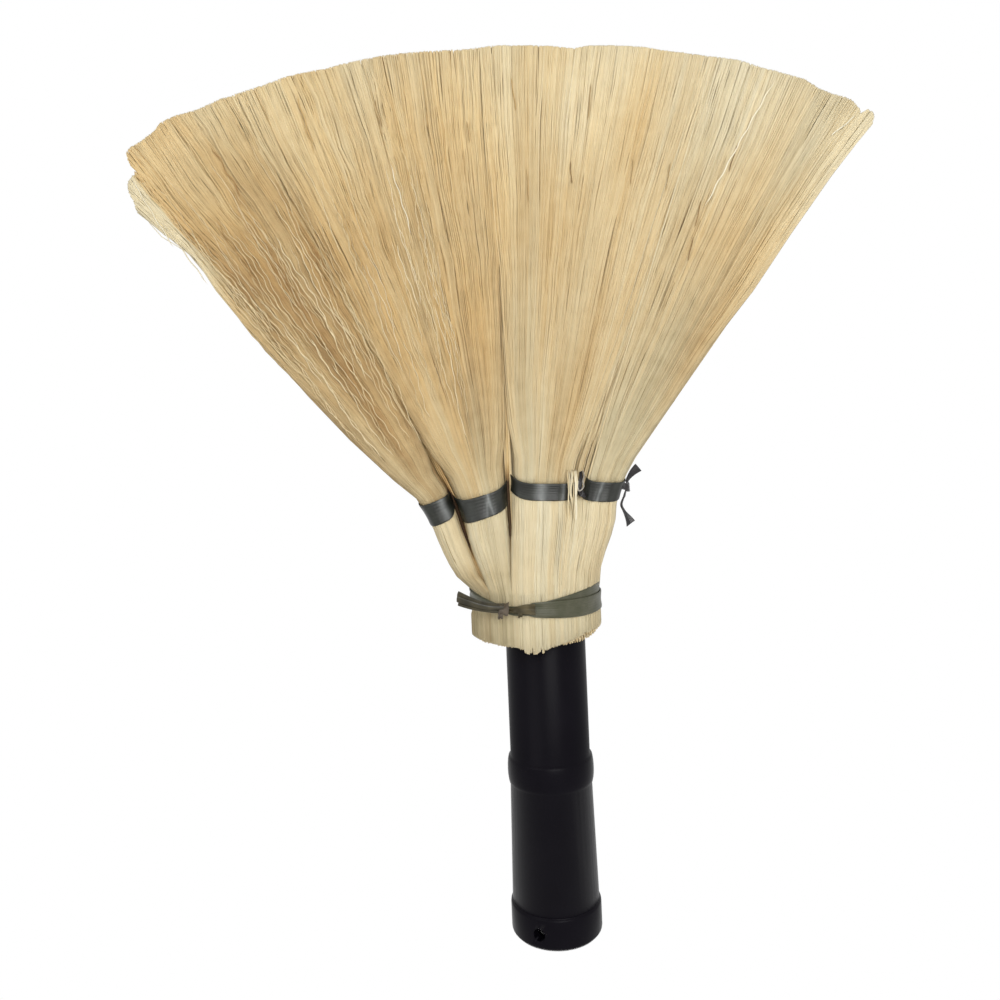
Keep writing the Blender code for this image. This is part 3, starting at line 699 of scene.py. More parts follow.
def head_point(turn, index, radius, height):
    """The place on the strapped round that a strand of the tied bundle comes from."""
    left = CUT_SHARES[index - 1] * radius if index > 0 else -radius
    right = CUT_SHARES[index] * radius if index < LAST else radius
    x = left + (right - left) * (squared(np.cos(turn)) + 1) / 2
    side = np.where(np.sin(turn) < 0, -1.0, 1.0)
    y = side * np.sqrt(np.maximum(radius**2 - x**2, 0.0))
    return np.stack((x, y, height + 0 * x), axis=-1)


def opening(index, share):
    """How far a bundle has gone from the round to its tied shape, at a share of the way up."""
    slow = (1 - math.cos(math.pi * share)) / 2
    settle = BUNDLES[index].settle
    return settle * slow + (1 - settle) * share**EARLY_OPENING_POWER


def rim_reach(angle):
    """From the fan's point to the trimmed rim, with its rounded corners, steps and notches."""
    away_x = FAN_POINT_OFFSET - RIM_CREST_OFFSET
    away_z = FAN_POINT_RISE - (RIM_CREST_RISE - RIM_RADIUS)
    along = away_x * np.sin(angle) + away_z * np.cos(angle)
    reach = -along + np.sqrt(along**2 - away_x**2 - away_z**2 + RIM_RADIUS**2)
    angles, insets = zip(*RIM_INSETS)
    return reach - np.interp(np.degrees(angle), angles, insets) / MM_IN_METRE


def even_places(count, seed):
    """Places spread evenly over the square from -1 to 1, with nothing in rows."""
    steps = np.arange(count) + seed
    return 2 * ((0.5 + steps * EVEN_STEP_X) % 1) - 1, 2 * ((0.5 + steps * EVEN_STEP_Y) % 1) - 1


JUST_UNDER_ONE = 0.9999


def drift(table, across, along):
    """Smooth values from a small table, for shares from 0 to 1 of its rows and columns."""
    rows, columns = table.shape
    a = np.clip(across, 0, JUST_UNDER_ONE) * (rows - 1)
    b = np.clip(along, 0, JUST_UNDER_ONE) * (columns - 1)
    i, j = a.astype(int), b.astype(int)
    u, v = a - i, b - j
    low = table[i, j] * (1 - v) + table[i, j + 1] * v
    high = table[i + 1, j] * (1 - v) + table[i + 1, j + 1] * v
    return low * (1 - u) + high * u


TONE_ZONES, WARM_ZONES = np.random.default_rng(5).random((2, 22, 6)) - 0.5
SWAYS = np.random.default_rng(6).random((14, 7)) - 0.5


def fan_place(angle):
    """An angle as a share of the fan, from 0 at its left edge to 1 at its right."""
    return (angle - FAN_ANGLES[0]) / (FAN_ANGLES[-1] - FAN_ANGLES[0])


def fan_point(angle, distance, y):
    return np.stack((FAN_POINT_OFFSET + distance * np.sin(angle), y + 0 * distance,
                     FAN_POINT_RISE + distance * np.cos(angle)), axis=-1)


def lock_of(angle, row, rows, bundle, left, right, rng):
    """The lock that each strand belongs to, and the middle of that lock."""
    mean = math.radians(bundle.lock)
    number = np.zeros(len(angle), int)
    middle = np.zeros(len(angle))
    count = 0
    for i in range(rows):
        borders = [left - mean * rng.random()]
        while borders[-1] < right:
            width = 1 + either_side(LOCK_WIDTH_SPREAD, rng.random())
            borders.append(borders[-1] + mean * width)
        borders = np.array(borders)
        chosen = row == i
        cell = np.clip(np.searchsorted(borders, angle[chosen]) - 1, 0, len(borders) - 2)
        number[chosen] = count + cell
        middle[chosen] = (borders[cell] + borders[cell + 1]) / 2
        count += len(borders)
    return number, np.clip(middle, left, right), count


def fan_tones(base, warmth, angle, count, own):
    """Tones and warmths along strands above the tie, in broad zones and with a few dark flecks."""
    up = np.broadcast_to(np.linspace(0, 1, count), (len(angle), count))
    place = np.broadcast_to(fan_place(angle)[:, None], up.shape)
    flecked, where, depth = own.T[:, :, None]
    tones = base[:, None] + np.interp(up, *DARKER_UP) + ZONE_TONES * drift(TONE_ZONES, place, up)
    warmths = warmth[:, None] - np.interp(up, *COOLER_UP) + ZONE_WARMTHS * drift(WARM_ZONES, place, up)
    fleck = np.maximum(0.0, 1 - np.abs(up - where) * count / FLECK_POINTS)
    tones = tones + (flecked < FLECK_SHARE) * fleck * within(FLECK_TONES, depth)
    flap = (angle[:, None] < FLAP_ANGLE) * ramp(up, *FLAP_RUN)
    return tones - FLAP_LIGHTER * flap, warmths - FLAP_COOLER * flap


def freedom(share):
    """How freely a strand sways at a share of its way up: not at all where it leaves the tie."""
    return math.sqrt(share) * (1 - TOP_HOLD * share)


def fan_paths(index, layer, across, deep, angle, centre, lock, own):
    """Paths from inside the tie to the rim, which wave with their lock and a little on their own."""
    bundle = BUNDLES[index]
    pull, drop, swing, rate, start, relief = lock.T[:6]
    uneven, short, shortened, shaken, shake_rate, shake_start, sink_rate, sink_start = own.T[:8]
    tuft = np.clip(np.abs(angle - centre) / math.radians(bundle.lock), 0, 1)
    reach = rim_reach(angle) - TUFT_DROP * (TUFT_DEPTH * tuft**2 * pull + drop) - TIP_UNEVEN * uneven
    reach = reach - np.where(short < SHORT_SHARE, SHORT_DROP * shortened, 0)
    tip = fan_point(angle, reach, deep * FAN_DEPTH / 2)

    middle_x, middle_y = ROW_MIDDLES[index]
    x = middle_x + across * np.sqrt(1 - ROUND_OFF_SHARE * deep**2) * bundle.width / 2 * ROOT_INSET
    y = middle_y + deep * np.sqrt(1 - ROUND_OFF_SHARE * across**2) * TIE_DEPTH / 2 * ROOT_INSET
    points = [lean_out(index, x, y, level) for level in ROOT_LEVELS]
    root = lean_out(index, x, y, half_tape(index) + BUNDLE_TOP_RISE)

    sideways = np.stack((np.cos(angle), 0 * angle, -np.sin(angle)), axis=-1)
    length = np.linalg.norm(tip - root, axis=-1)
    bow = np.where(across < 0, -bundle.left_bow, bundle.right_bow) * np.abs(across) ** BOW_POWER
    dent = DENT * ramp(angle, DENT_ANGLE, FAN_ANGLES[0])
    lock_rate = 1 + either_side(LOCK_RATE_SPREAD, rate)
    for share in (*np.linspace(0, TIP_SHARE, layer.points[index] - 1), 1.0):
        turns = length * share / WAVE_LENGTH
        sway = drift(SWAYS, fan_place(angle), np.full(len(angle), share))
        wave = wave_at(turns * lock_rate + LOCK_START_SPREAD * start + SWAY_SHIFT * sway)
        shake = wave_at(turns * shake_rate * STRAND_WAVE_RATE + shake_start)
        sink = wave_at(turns * sink_rate + sink_start)
        together = math.sin(math.pi * LOCK_PULL_HALF_WAVE * share)
        free = freedom(share)
        aside = length * share * LOCK_PULL * pull * together * (centre - angle)
        aside += bow * math.sin(math.pi * share**BOW_RISE_POWER)
        aside += dent * math.exp(-(((share - DENT_SHARE) / DENT_LENGTH) ** 2))
        aside += free * (bundle.wave * (LEAST_WAVE + swing) * wave + SWAY * sway)
        aside += free * STRAND_WAVE * (LEAST_WAVE + shaken) * shake
        point = root + (tip - root) * share + sideways * aside[:, None]
        calm = min(1.0, 1 - RIM_CALM * (share - CALM_FROM) / (1 - CALM_FROM))
        point[:, 1] += free * calm * (either_side(2 * LOCK_RELIEF, relief) + STRAND_SINK * sink)
        points.append(point)
    return np.stack(points, axis=1)


def fan_strands(index, layer, seed):
    """A layer of a bundle above the tie: the strands' paths, radii, tones and warmths."""
    bundle = BUNDLES[index]
    rng = np.random.default_rng(seed)
    across, depth = even_places(layer.strands[index], seed)
    inwards = (depth + 1) / 2
    left, right = FAN_ANGLES[index], FAN_ANGLES[index + 1]
    angle = within((left, right), (across + 1) / 2)
    scatter = rng.normal(0, 1, (2, len(angle)))
    blurred = (across > 0) * (index < LAST) + (across < 0) * (index > 0)
    angle = angle + scatter[0] * (SCATTER + BORDER_BLUR * across**4 * blurred)
    if index == 0:
        angle = left + np.abs(angle - left)
    if index == LAST:
        angle = right - np.abs(right - angle)
    deep = within((layer.outer, layer.inner), inwards**layer.crowding) + DEPTH_SCATTER * scatter[1]
    row = np.clip(np.floor(inwards * layer.lock_rows), 0, layer.lock_rows - 1)
    number, centre, locks = lock_of(angle, row, layer.lock_rows, bundle, left, right, rng)
    lock = rng.random((locks, 8))[number]
    own = rng.random((len(angle), 12))

    paths = fan_paths(index, layer, across, deep, angle, centre, lock, own)
    steps = paths.shape[1]
    profile = closed_ends(np.interp(np.linspace(0, 1, steps), *THICKNESS_UP))
    # The draw that shakes a strand also makes it thicker
    radii = STRAND_RADII[index] * within(THICKNESSES, own[:, 3:4] ** 2) * profile
    base = bundle.tone + either_side(LOCK_TONES, lock[:, 6]) + either_side(STRAND_TONES, own[:, 8])
    warmth = bundle.warmth + either_side(LOCK_WARMTHS, lock[:, 7])
    return (paths, radii, *fan_tones(base, warmth, angle, steps, own[:, 9:]))


def laid_on_front(angle, distance, lift):
    """A place on the fan's front, that far in front of it."""
    share = ramp(distance / rim_reach(angle), FRONT_START_SHARE, 1)
    y = -TIE_DEPTH / 2 - (FAN_DEPTH - TIE_DEPTH) / 2 * share - lift
    return fan_point(angle, distance, y)


def laid_strands():
    """The few strands that stand out on the fan's front, each one given its own place."""
    low_angle, low, high_angle, high, size, wave, tone, warmth = np.array(LAID_STRANDS).T[:, :, None]
    share = np.linspace(0, 1, LAID_POINTS)
    angle = np.radians(within((low_angle, high_angle), share))
    distance = within((low, high), share) / MM_IN_METRE
    aside = wave / MM_IN_METRE * wave_at(distance / LAID_WAVE_LENGTH)
    paths = laid_on_front(angle + aside / distance, distance, LAID_LIFT)
    radii = size / MM_IN_METRE * pointed(share, LAID_ENDS)
    return paths, radii, tone + 0 * share, warmth + 0 * share


def crimped_strands(seed):
    """Fine strands with a close crimp, which lie on the front of the fan's left half."""
    own = np.random.default_rng(seed).random((CRIMPED_STRANDS, 9))
    place, start, run, reach, crimp, sway, lift, size, tone = own.T[:, :, None]
    share = np.linspace(0, 1, CRIMPED_POINTS)
    angle = np.radians(within(CRIMPED_ANGLES, place**CRIMPED_ANGLE_POWER))
    distance = rim_reach(angle) * (within(CRIMPED_STARTS, start) + within(CRIMPED_RUNS, run) * share)
    aside = within(CRIMP_REACHES, reach) * wave_at(distance / CRIMP_LENGTH + crimp)
    aside += CRIMPED_SWAY * wave_at(distance / CRIMPED_SWAY_LENGTH + sway)
    paths = laid_on_front(angle + aside / distance, distance, within(CRIMPED_LIFTS, lift))
    radii = CRIMPED_RADIUS * within(LOOSE_THICKNESSES, size) * pointed(share, CRIMPED_ENDS)
    tones = within(CRIMPED_TONES, tone) + 0 * share
    return paths, radii, tones, np.full(tones.shape, CRIMPED_WARMTH)


def wisp_strands(seed):
    """Pale strands that hang over the tape between the right two bundles."""
    own = np.random.default_rng(seed).random((WISPS, 8))
    place, start, bulge, length, size, tone, warmth = own.T[:7, :, None]
    line = through(WISP_LINE, WISP_POINTS) / MM_IN_METRE
    share = np.linspace(0, 1, len(line))
    paths = np.repeat(line[None], WISPS, axis=0)
    paths[:, :, 0] += either_side(np.interp(share, *WISP_SPREAD), place)
    paths[:, :, 0] += WISP_WAVE * wave_at(start + WISP_WAVES * share)
    paths[:, :, 1] -= WISP_BULGE * bulge * np.sin(math.pi * share)
    paths[:, :, 2] = line[0, 2] + (line[:, 2] - line[0, 2]) * within(WISP_LENGTHS, length)
    radii = WISP_RADIUS * within(LOOSE_THICKNESSES, size) * pointed(share, WISP_ENDS)
    return paths, radii, within(WISP_TONES, tone) + 0 * share, within(WISP_WARMTHS, warmth) + 0 * share


LEAST_SIZE = 1e-9


def inset_points(points, middle, inset):
    """Points moved towards the middle by that much each."""
    away = points - middle
    away[..., 2] = 0
    size = np.linalg.norm(away, axis=-1)
    return points - away * (inset / np.maximum(size, LEAST_SIZE))[..., None]


TEETH = np.random.default_rng(9).random(41)


def butt_end(x, y, unevenness):
    """How high above the butt plane the fibre is cut: the sides slant, and the front hangs in teeth."""
    tooth = TEETH[np.floor(np.asarray(x) / TOOTH_WIDTH).astype(int) % len(TEETH)]
    out = ramp(np.hypot(x, y), SLANT_RADIUS, HEAD_RADIUS)
    right = RIGHT_SLANT * ramp(x, *RIGHT_SLANT_RUN) ** RIGHT_SLANT_POWER
    left = LEFT_SLANT * ramp(-x, *LEFT_SLANT_RUN)
    front = np.exp(-(((x - TEETH_MIDDLE) / TEETH_REACH) ** 4)) * (y < 0)
    cut = out**2 * (SIDE_SLANT + right + left) + front * TOOTH_DROP * (tooth - 1)
    return cut + unevenness * (1 + TEETH_UNEVENNESS * front)


def skin_paths(index, turn, inset, unevenness):
    """Strands on the outside of a bundle from its butt through the strap and under the tape."""
    half = STRAP_WIDTH / 2
    cut = inset_points(head_point(turn, index, HEAD_RADIUS, 0.0), np.zeros(3), inset)
    cut[:, 2] = butt_end(cut[:, 0], cut[:, 1], unevenness)
    points = [cut, cut + (0.0, 0.0, BUTT_END_STEP)]
    for height, radius in (
        (STRAP_RISE - half - STRAP_RUN, HEAD_RADIUS), (STRAP_RISE - half, STRAP_RADIUS),
        (STRAP_RISE + half, STRAP_RADIUS), (OPENING_START, HEAD_RADIUS),
    ):
        points.append(inset_points(head_point(turn, index, radius, height), np.zeros(3), inset))
    strapped = head_point(turn, index, HEAD_RADIUS, OPENING_START)
    under = half_tape(index) + STRAP_RUN
    middle = np.array((*ROW_MIDDLES[index], 0.0))
    tied = tie_point(turn, index, -under)
    for share in SKIN_SHARES:
        point = strapped + (tied - strapped) * opening(index, share)
        point[:, 2] = strapped[:, 2] + (tied[:, 2] - strapped[:, 2]) * share
        points.append(inset_points(point, middle * share, inset))
    for height in (-under, -under / 2, half_tape(index) * UNDER_TAPE_SHARE):
        point = tie_point(turn, index, height)
        opposite = tie_point(turn + math.pi, index, height)
        points.append(inset_points(point, (point + opposite) / 2, inset))
    return np.stack(points, axis=1)


def skin_strands(index, seed):
    """The strands that a bundle shows below the tie."""
    bundle = BUNDLES[index]
    rng = np.random.default_rng(seed)
    count = int(SKIN_DENSITY * (bundle.width + TIE_DEPTH) * 2)
    place = even_shares(count, EVEN_STEP_X)
    own = rng.random((count, 6))
    paths = skin_paths(index, 2 * math.pi * place, SKIN_INSET + SKIN_LAYERS * own[:, 0],
                       either_side(BUTT_UNEVENNESS, own[:, 1]))
    return (paths, *skin_looks(paths, place, bundle, own, rng))


def skin_looks(paths, place, bundle, own, rng):
    """A slight wave, and the radii, tones and warmths of strands below the tie."""
    count = paths.shape[1]
    steps = np.arange(count)
    start, size, tone, odd = own.T[2:6, :, None]
    wave = wave_at(start + steps / count * SKIN_WAVES)
    paths[:, :, 0] += SKIN_WAVE * wave * np.interp(steps, *SKIN_WAVE_UP)
    radii = SKIN_RADIUS * within(LOOSE_THICKNESSES, size) * closed_ends(np.ones(count))
    groups = rng.random((SKIN_GROUPS + 1, 2))[np.floor(place * SKIN_GROUPS).astype(int)]
    # Painted shade: the left of the lower skin is darker, for the shade away from the key lamp
    left = ramp(-paths[:, :, 0], *LEFT_SKIN_SHADE_RUN) * (steps < LEFT_SKIN_SHADE_POINTS)
    tones = bundle.low_tone + np.interp(steps, *SKIN_DULL_AND_SHADE_UP) + LEFT_SKIN_PAINTED_SHADE * left
    tones = tones + either_side(GROUP_TONES, groups[:, 0:1]) + either_side(SKIN_TONES, tone)
    tones = tones + DARK_STRAND_TONE * (odd > 1 - DARK_STRAND_SHARE)
    warmths = bundle.low_warmth - np.interp(steps, *SKIN_COOLER_UP)
    return radii, tones, warmths + either_side(GROUP_WARMTHS, groups[:, 1:2])


def between_paths(index, side, deep, inset, unevenness):
    """Strands from the butt to the tie, in between two neighbouring bundles."""
    turn = squared_turn(deep)
    left = skin_paths(index, turn, inset, unevenness)
    right = skin_paths(index + 1, math.pi - turn, inset, unevenness)
    return left + (right - left) * side[:, None, None]


def between_strands(index, seed):
    """Strands that fill the crevice between two bundles, from the butt up to the rim."""
    between = BETWEENS[index]
    bundle = BUNDLES[index + 1]
    rng = np.random.default_rng(seed)
    own = rng.random((between.strands, 12))
    side, depth, short, start, rate, size, tone, warmth = own.T[:8]
    deep = within((between.front, BETWEEN_BACK), depth)
    points = list(np.moveaxis(
        between_paths(index, side, deep, BETWEEN_INSET + 0 * side, BETWEEN_BUTT + 0 * side), 1, 0))
    turn = squared_turn(deep)
    for above_tape in (BETWEEN_RISE, BUNDLE_TOP_RISE):
        height = half_tape(index) + above_tape
        left = tie_point(turn, index, height) * (1 - side[:, None])
        points.append(left + tie_point(math.pi - turn, index + 1, height) * side[:, None])
    root = points[-1]
    angle = FAN_ANGLES[index + 1] + rng.normal(0, BORDER_BLUR, len(side))
    spread = np.interp(deep, (between.front, BETWEEN_BACK), (-1.0, 1.0)) * FAN_DEPTH / 2
    tip = fan_point(angle, rim_reach(angle) - BETWEEN_TIP_UNEVEN * short, spread)
    for share in (*np.linspace(BETWEEN_START, TIP_SHARE, BETWEEN_POINTS), 1.0):
        point = root + (tip - root) * share
        sway = drift(SWAYS, fan_place(angle), np.full(len(angle), share))
        wave = wave_at(start + share * BETWEEN_WAVES * rate)
        point[:, 0] += freedom(share) * (SWAY * sway + 2 * STRAND_WAVE * wave)
        points.append(point)
    paths = np.stack(points, axis=1)
    steps = paths.shape[1]
    radii = STRAND_RADII[index] * within(THICKNESSES, size[:, None]) * closed_ends(np.ones(steps))
    base = bundle.tone + either_side(BETWEEN_TONES, tone)
    warmth = bundle.warmth + either_side(BETWEEN_WARMTHS, warmth)
    tones, warmths = fan_tones(base, warmth, angle, steps, own[:, 9:])
    # Painted shade: crevice strands on the left bundle's side are darker round the tie
    if not between.shared:
        darker = np.interp(np.arange(steps), *CREVICE_SHADE_UP)
        tones = tones + darker * (side[:, None] < CREVICE_SHADE_SIDE)
    return paths, radii, tones, warmths


def shared_strands(index, seed):
    """Strands that two bundles share in front and at the back, gathered under the tape's lower edge."""
    count = BETWEENS[index].shared
    rng = np.random.default_rng(seed)
    own = rng.random((count, 6))
    facing = np.where(own[:, 1] < SHARED_FRONT_SHARE, -1.0, 1.0)
    side = even_shares(count, EVEN_STEP_X)
    paths = between_paths(index, side, facing * within(SHARED_DEPTHS, own[:, 0]),
                          within(SHARED_INSETS, rng.random(count)),
                          either_side(BUTT_UNEVENNESS, own[:, 1]))
    paths[:, -2:, 1] *= SHARED_GATHERS
    paths[:, :, 1] += facing[:, None] * np.interp(np.arange(paths.shape[1]), *SHARED_SWELL_UP)
    return (paths, *skin_looks(paths, side, BUNDLES[index], own, rng))


def stub_strands(seed):
    """Cut ends around the socket, under the butt."""
    own = np.random.default_rng(seed).random((STUBS, 6))
    inner, outer = STUB_RING
    radius = np.sqrt(within((inner**2, outer**2), even_shares(STUBS, EVEN_STEP_X)))
    turn = 2 * math.pi * even_shares(STUBS, EVEN_STEP_Y)
    x, y = radius * np.cos(turn), radius * np.sin(turn)
    heights = butt_end(x, y, either_side(STUB_UNEVENNESS, own[:, 0]))[:, None] + STUB_HEIGHTS
    paths = np.stack((x[:, None] + 0 * heights, y[:, None] + 0 * heights, heights), axis=-1)
    paths[:, 2:, 0] += either_side(STUB_LEAN, own[:, 1:2])
    radii = SKIN_RADIUS * within(LOOSE_THICKNESSES, own[:, 2:3]) * STUB_THICKNESSES
    tones = within(STUB_TONES, own[:, 3:4]) + 0 * heights
    return paths, radii, tones, within(STUB_WARMTHS, own[:, 4:5]) + 0 * heights


# Building fibre


def triangle_section():
    """The three-cornered section that every strand is drawn out with."""
    curve = bpy.data.curves.new("strand_section", "CURVE")
    spline = curve.splines.new("POLY")
    spline.points.add(STRAND_SECTION - 1)
    for i, point in enumerate(spline.points):
        turn = -2 * math.pi * i / STRAND_SECTION
        point.co = (math.cos(turn), math.sin(turn), 0.0, 1.0)
    spline.use_cyclic_u = True
    return add_object("strand_section", curve)


def give_values(mesh, name, values):
    attribute = mesh.attributes.new(name, "FLOAT", "POINT")
    attribute.data.foreach_set("value", np.asarray(values, np.float32))


def weld(thing, distance, face_outwards=False):
    """Joins the points that lie together, and may turn every face outwards."""
    select_only(thing)
    bpy.ops.object.mode_set(mode="EDIT")
    bpy.ops.mesh.select_all(action="SELECT")
    bpy.ops.mesh.remove_doubles(threshold=distance)
    if face_outwards:
        bpy.ops.mesh.normals_make_consistent(inside=False)
    bpy.ops.object.mode_set(mode="OBJECT")


def close_and_smooth(thing, distance):
    """Joins a piece's points, turns its faces outwards and shades it round."""
    weld(thing, distance, face_outwards=True)
    bpy.ops.object.shade_smooth()


def make_strands(name, strands, section, material):
    """Strands as one curve with a line each, drawn out to a mesh that keeps each strand's tone."""
    paths, radii, tones, warmths = strands
    curve = bpy.data.curves.new(name, "CURVE")
    curve.dimensions = "3D"
    curve.bevel_mode = "OBJECT"
    curve.bevel_object = section
    places = np.concatenate((paths + HEAD_ORIGIN, np.ones((*paths.shape[:2], 1))), axis=-1)
    tilts = np.random.default_rng(len(paths)).random(len(paths)) * 2 * math.pi / STRAND_SECTION
    for place, radius, tilt in zip(places, radii, tilts):
        spline = curve.splines.new("POLY")
        spline.points.add(len(place) - 1)
        spline.points.foreach_set("co", place.ravel())
        spline.points.foreach_set("radius", radius)
        spline.points.foreach_set("tilt", np.full(len(place), tilt))
    thing = add_object(name, curve)
    select_only(thing)
    bpy.ops.object.convert(target="MESH")
    give_values(thing.data, "tone", np.repeat(tones.ravel(), STRAND_SECTION))
    give_values(thing.data, "warmth", np.repeat(warmths.ravel(), STRAND_SECTION))
    close_and_smooth(thing, FIBRE_WELD)
    give_material(thing.data, material)
    return finish_piece(thing, "straw_fibre")


def cut_spigot_room(thing):
    """Takes the socket's upper end out of a piece of fibre."""
    bpy.ops.object.select_all(action="DESELECT")
    bpy.ops.mesh.primitive_cylinder_add(
        vertices=SPIGOT_ROOM_SIDES, radius=SPIGOT_RADIUS + SPIGOT_ROOM,
        depth=2 * (SPIGOT_IN_HEAD + SPIGOT_ROOM_ABOVE), location=(0.0, 0.0, HEAD_ORIGIN[2]))
    cutter = bpy.context.active_object
    cut = thing.modifiers.new("spigot_room", "BOOLEAN")
    cut.operation = "DIFFERENCE"
    cut.solver = "EXACT"
    cut.object = cutter
    select_only(thing)
    bpy.ops.object.modifier_apply(modifier="spigot_room")
    bpy.data.objects.remove(cutter)


def make_core(index, material):
    """A closed body just inside the skin, so that nothing shows between its strands."""
    turns = np.arange(CORE_SIDES) * 2 * math.pi / CORE_SIDES
    rings = skin_paths(index, turns, np.full(CORE_SIDES, CORE_INSET), CORE_SET_BACK)
    levels = rings.shape[1]
    bpy.ops.object.select_all(action="DESELECT")
    bpy.ops.mesh.primitive_cylinder_add(vertices=CORE_SIDES, radius=1, depth=1)
    thing = bpy.context.active_object
    thing.name = f"{BUNDLES[index].name}_core"
    mesh = thing.data
    bpy.ops.object.mode_set(mode="EDIT")
    bpy.ops.mesh.select_all(action="DESELECT")
    bpy.ops.object.mode_set(mode="OBJECT")
    for edge in mesh.edges:
        low, high = (mesh.vertices[i].co.z for i in edge.vertices)
        edge.select = low * high < 0
    bpy.ops.object.mode_set(mode="EDIT")
    bpy.ops.mesh.select_mode(type="EDGE")
    bpy.ops.mesh.subdivide(number_cuts=levels - 2)
    bpy.ops.object.mode_set(mode="OBJECT")
    for vert in mesh.vertices:
        level = round((vert.co.z + 0.5) * (levels - 1))
        side = round(math.atan2(vert.co.y, vert.co.x) / (2 * math.pi) * CORE_SIDES) % CORE_SIDES
        vert.co = rings[side, level] + HEAD_ORIGIN
    close_and_smooth(thing, FIBRE_WELD)
    cut_spigot_room(thing)
    mesh = thing.data
    give_values(mesh, "tone", np.full(len(mesh.vertices), CORE_TONE))
    give_values(mesh, "warmth", np.full(len(mesh.vertices), CORE_WARMTH))
    mesh.materials.append(material)
    finish_piece(thing, "straw_fibre", BUNDLES[index].node)


def make_fibre(straw):
    """All the fibre, each group with random draws of its own."""
    section = triangle_section()
    for index, bundle in enumerate(BUNDLES):
        for number, layer in enumerate(LAYERS):
            strands = fan_strands(index, layer, FAN_SEED + index + LAYER_SEED_STEP * number)
            thing = make_strands(f"{bundle.name}_{layer.name}_fibre", strands, section, straw)
            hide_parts(bundle.node)
        strands = skin_strands(index, SKIN_SEED + index)
        thing = make_strands(f"{bundle.name}_skin", strands, section, straw)
        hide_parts(bundle.node)
        make_core(index, straw)
    for index, between in enumerate(BETWEENS):
        name = BUNDLES[index].name
        strands = between_strands(index, BETWEEN_SEED + index)
        make_strands(f"{name}_crevice_fibre", strands, section, straw)
        if between.shared:
            make_strands(f"{name}_shared_fibre", shared_strands(index, SHARED_SEED), section, straw)
    for name, strands in (
        ("crimped_strands", crimped_strands(CRIMPED_SEED)), ("laid_strands", laid_strands()),
        ("wisps_over_tape", wisp_strands(WISP_SEED)), ("butt_stubs", stub_strands(STUB_SEED)),
    ):
        make_strands(name, strands, section, straw)
    bpy.data.objects.remove(section)


# Building tape


def through(rows, count, closed=False):
    """A smooth run of that many points through rows of numbers."""
    rows = np.asarray(rows, float)
    last = len(rows) if closed else len(rows) - 1
    places = np.linspace(0, last, count)
    step = np.minimum(places.astype(int), last - 1)
    t = (places - step)[:, None]

    def row(offset):
        if closed:
            return rows[(step + offset) % len(rows)]
        return rows[np.clip(step + offset, 0, len(rows) - 1)]

    before, first, second, after = row(-1), row(0), row(1), row(2)
    return first + 0.5 * t * (second - before + t * (2 * before - 5 * first + 4 * second - after
                                                     + t * (3 * (first - second) + after - before)))


def make_strip(name, path, sides, widths, material, slot, relief=None, closed=False, highlight_and_wear_at=None):
    """A length of tape: a grid laid along a path in head coordinates, then thickened.

    relief and the pale mix take the share of the way along and the place across, -1 to 1, and give a
    fold's height and how much pale grey is painted in there: painted highlights on the tie's folds,
    paler frayed edges on the strap's tails.
    """
    bpy.ops.object.select_all(action="DESELECT")
    bpy.ops.mesh.primitive_grid_add(x_subdivisions=len(path) - 1, y_subdivisions=TAPE_LANES, size=2)
    thing = bpy.context.active_object
    thing.name = name
    mesh = thing.data
    flat = np.zeros(len(mesh.vertices) * 3)
    mesh.vertices.foreach_get("co", flat)
    flat = flat.reshape(-1, 3)
    share, across = (flat[:, 0] + 1) / 2, flat[:, 1]
    along = np.linspace(0, 1, len(path))

    def at(values):
        values = np.asarray(values, float)
        return np.stack([np.interp(share, along, values[:, i]) for i in range(3)], axis=-1)

    path = np.asarray(path, float)
    if closed:
        tangent = np.roll(path[:-1], -1, axis=0) - np.roll(path[:-1], 1, axis=0)
        tangent = np.concatenate((tangent, tangent[:1]))
    else:
        tangent = np.gradient(path, axis=0)
    normal = np.cross(at(tangent), at(sides))
    normal /= np.linalg.norm(normal, axis=-1)[:, None]
    place = at(path) + at(sides) * (np.interp(share, along, widths) / 2 * across)[:, None]
    if relief is not None:
        place += normal * relief(share, across)[:, None]
    mesh.vertices.foreach_set("co", (place + HEAD_ORIGIN).ravel())
    mesh.update()
    if highlight_and_wear_at is not None:
        give_values(mesh, "worn", highlight_and_wear_at(share, across))
    if closed:
        close_and_smooth(thing, TURN_WELD)
    select_only(thing)
    wall = thing.modifiers.new("wall", "SOLIDIFY")
    wall.thickness = TAPE_THICKNESS
    wall.offset = 0
    smooth = thing.modifiers.new("smooth", "SUBSURF")
    smooth.levels = smooth.render_levels = 1
    for modifier in ("wall", "smooth"):
        bpy.ops.object.modifier_apply(modifier=modifier)
    close_and_smooth(thing, TAPE_WELD)
    mesh.materials.append(material)
    return finish_piece(thing, slot)


# How far the tape's upper and lower edges rise at a turn's left end and at its right end, in
# millimetres: left upper, left lower, right upper, right lower
TURN_RISES = ((0.0, 0.0, 0.6, 3.2), (2.2, 0.4, 2.8, 1.6), (3.6, 3.4, 0.3, 0.0), (3.4, 1.2, 0.0, 0.4))

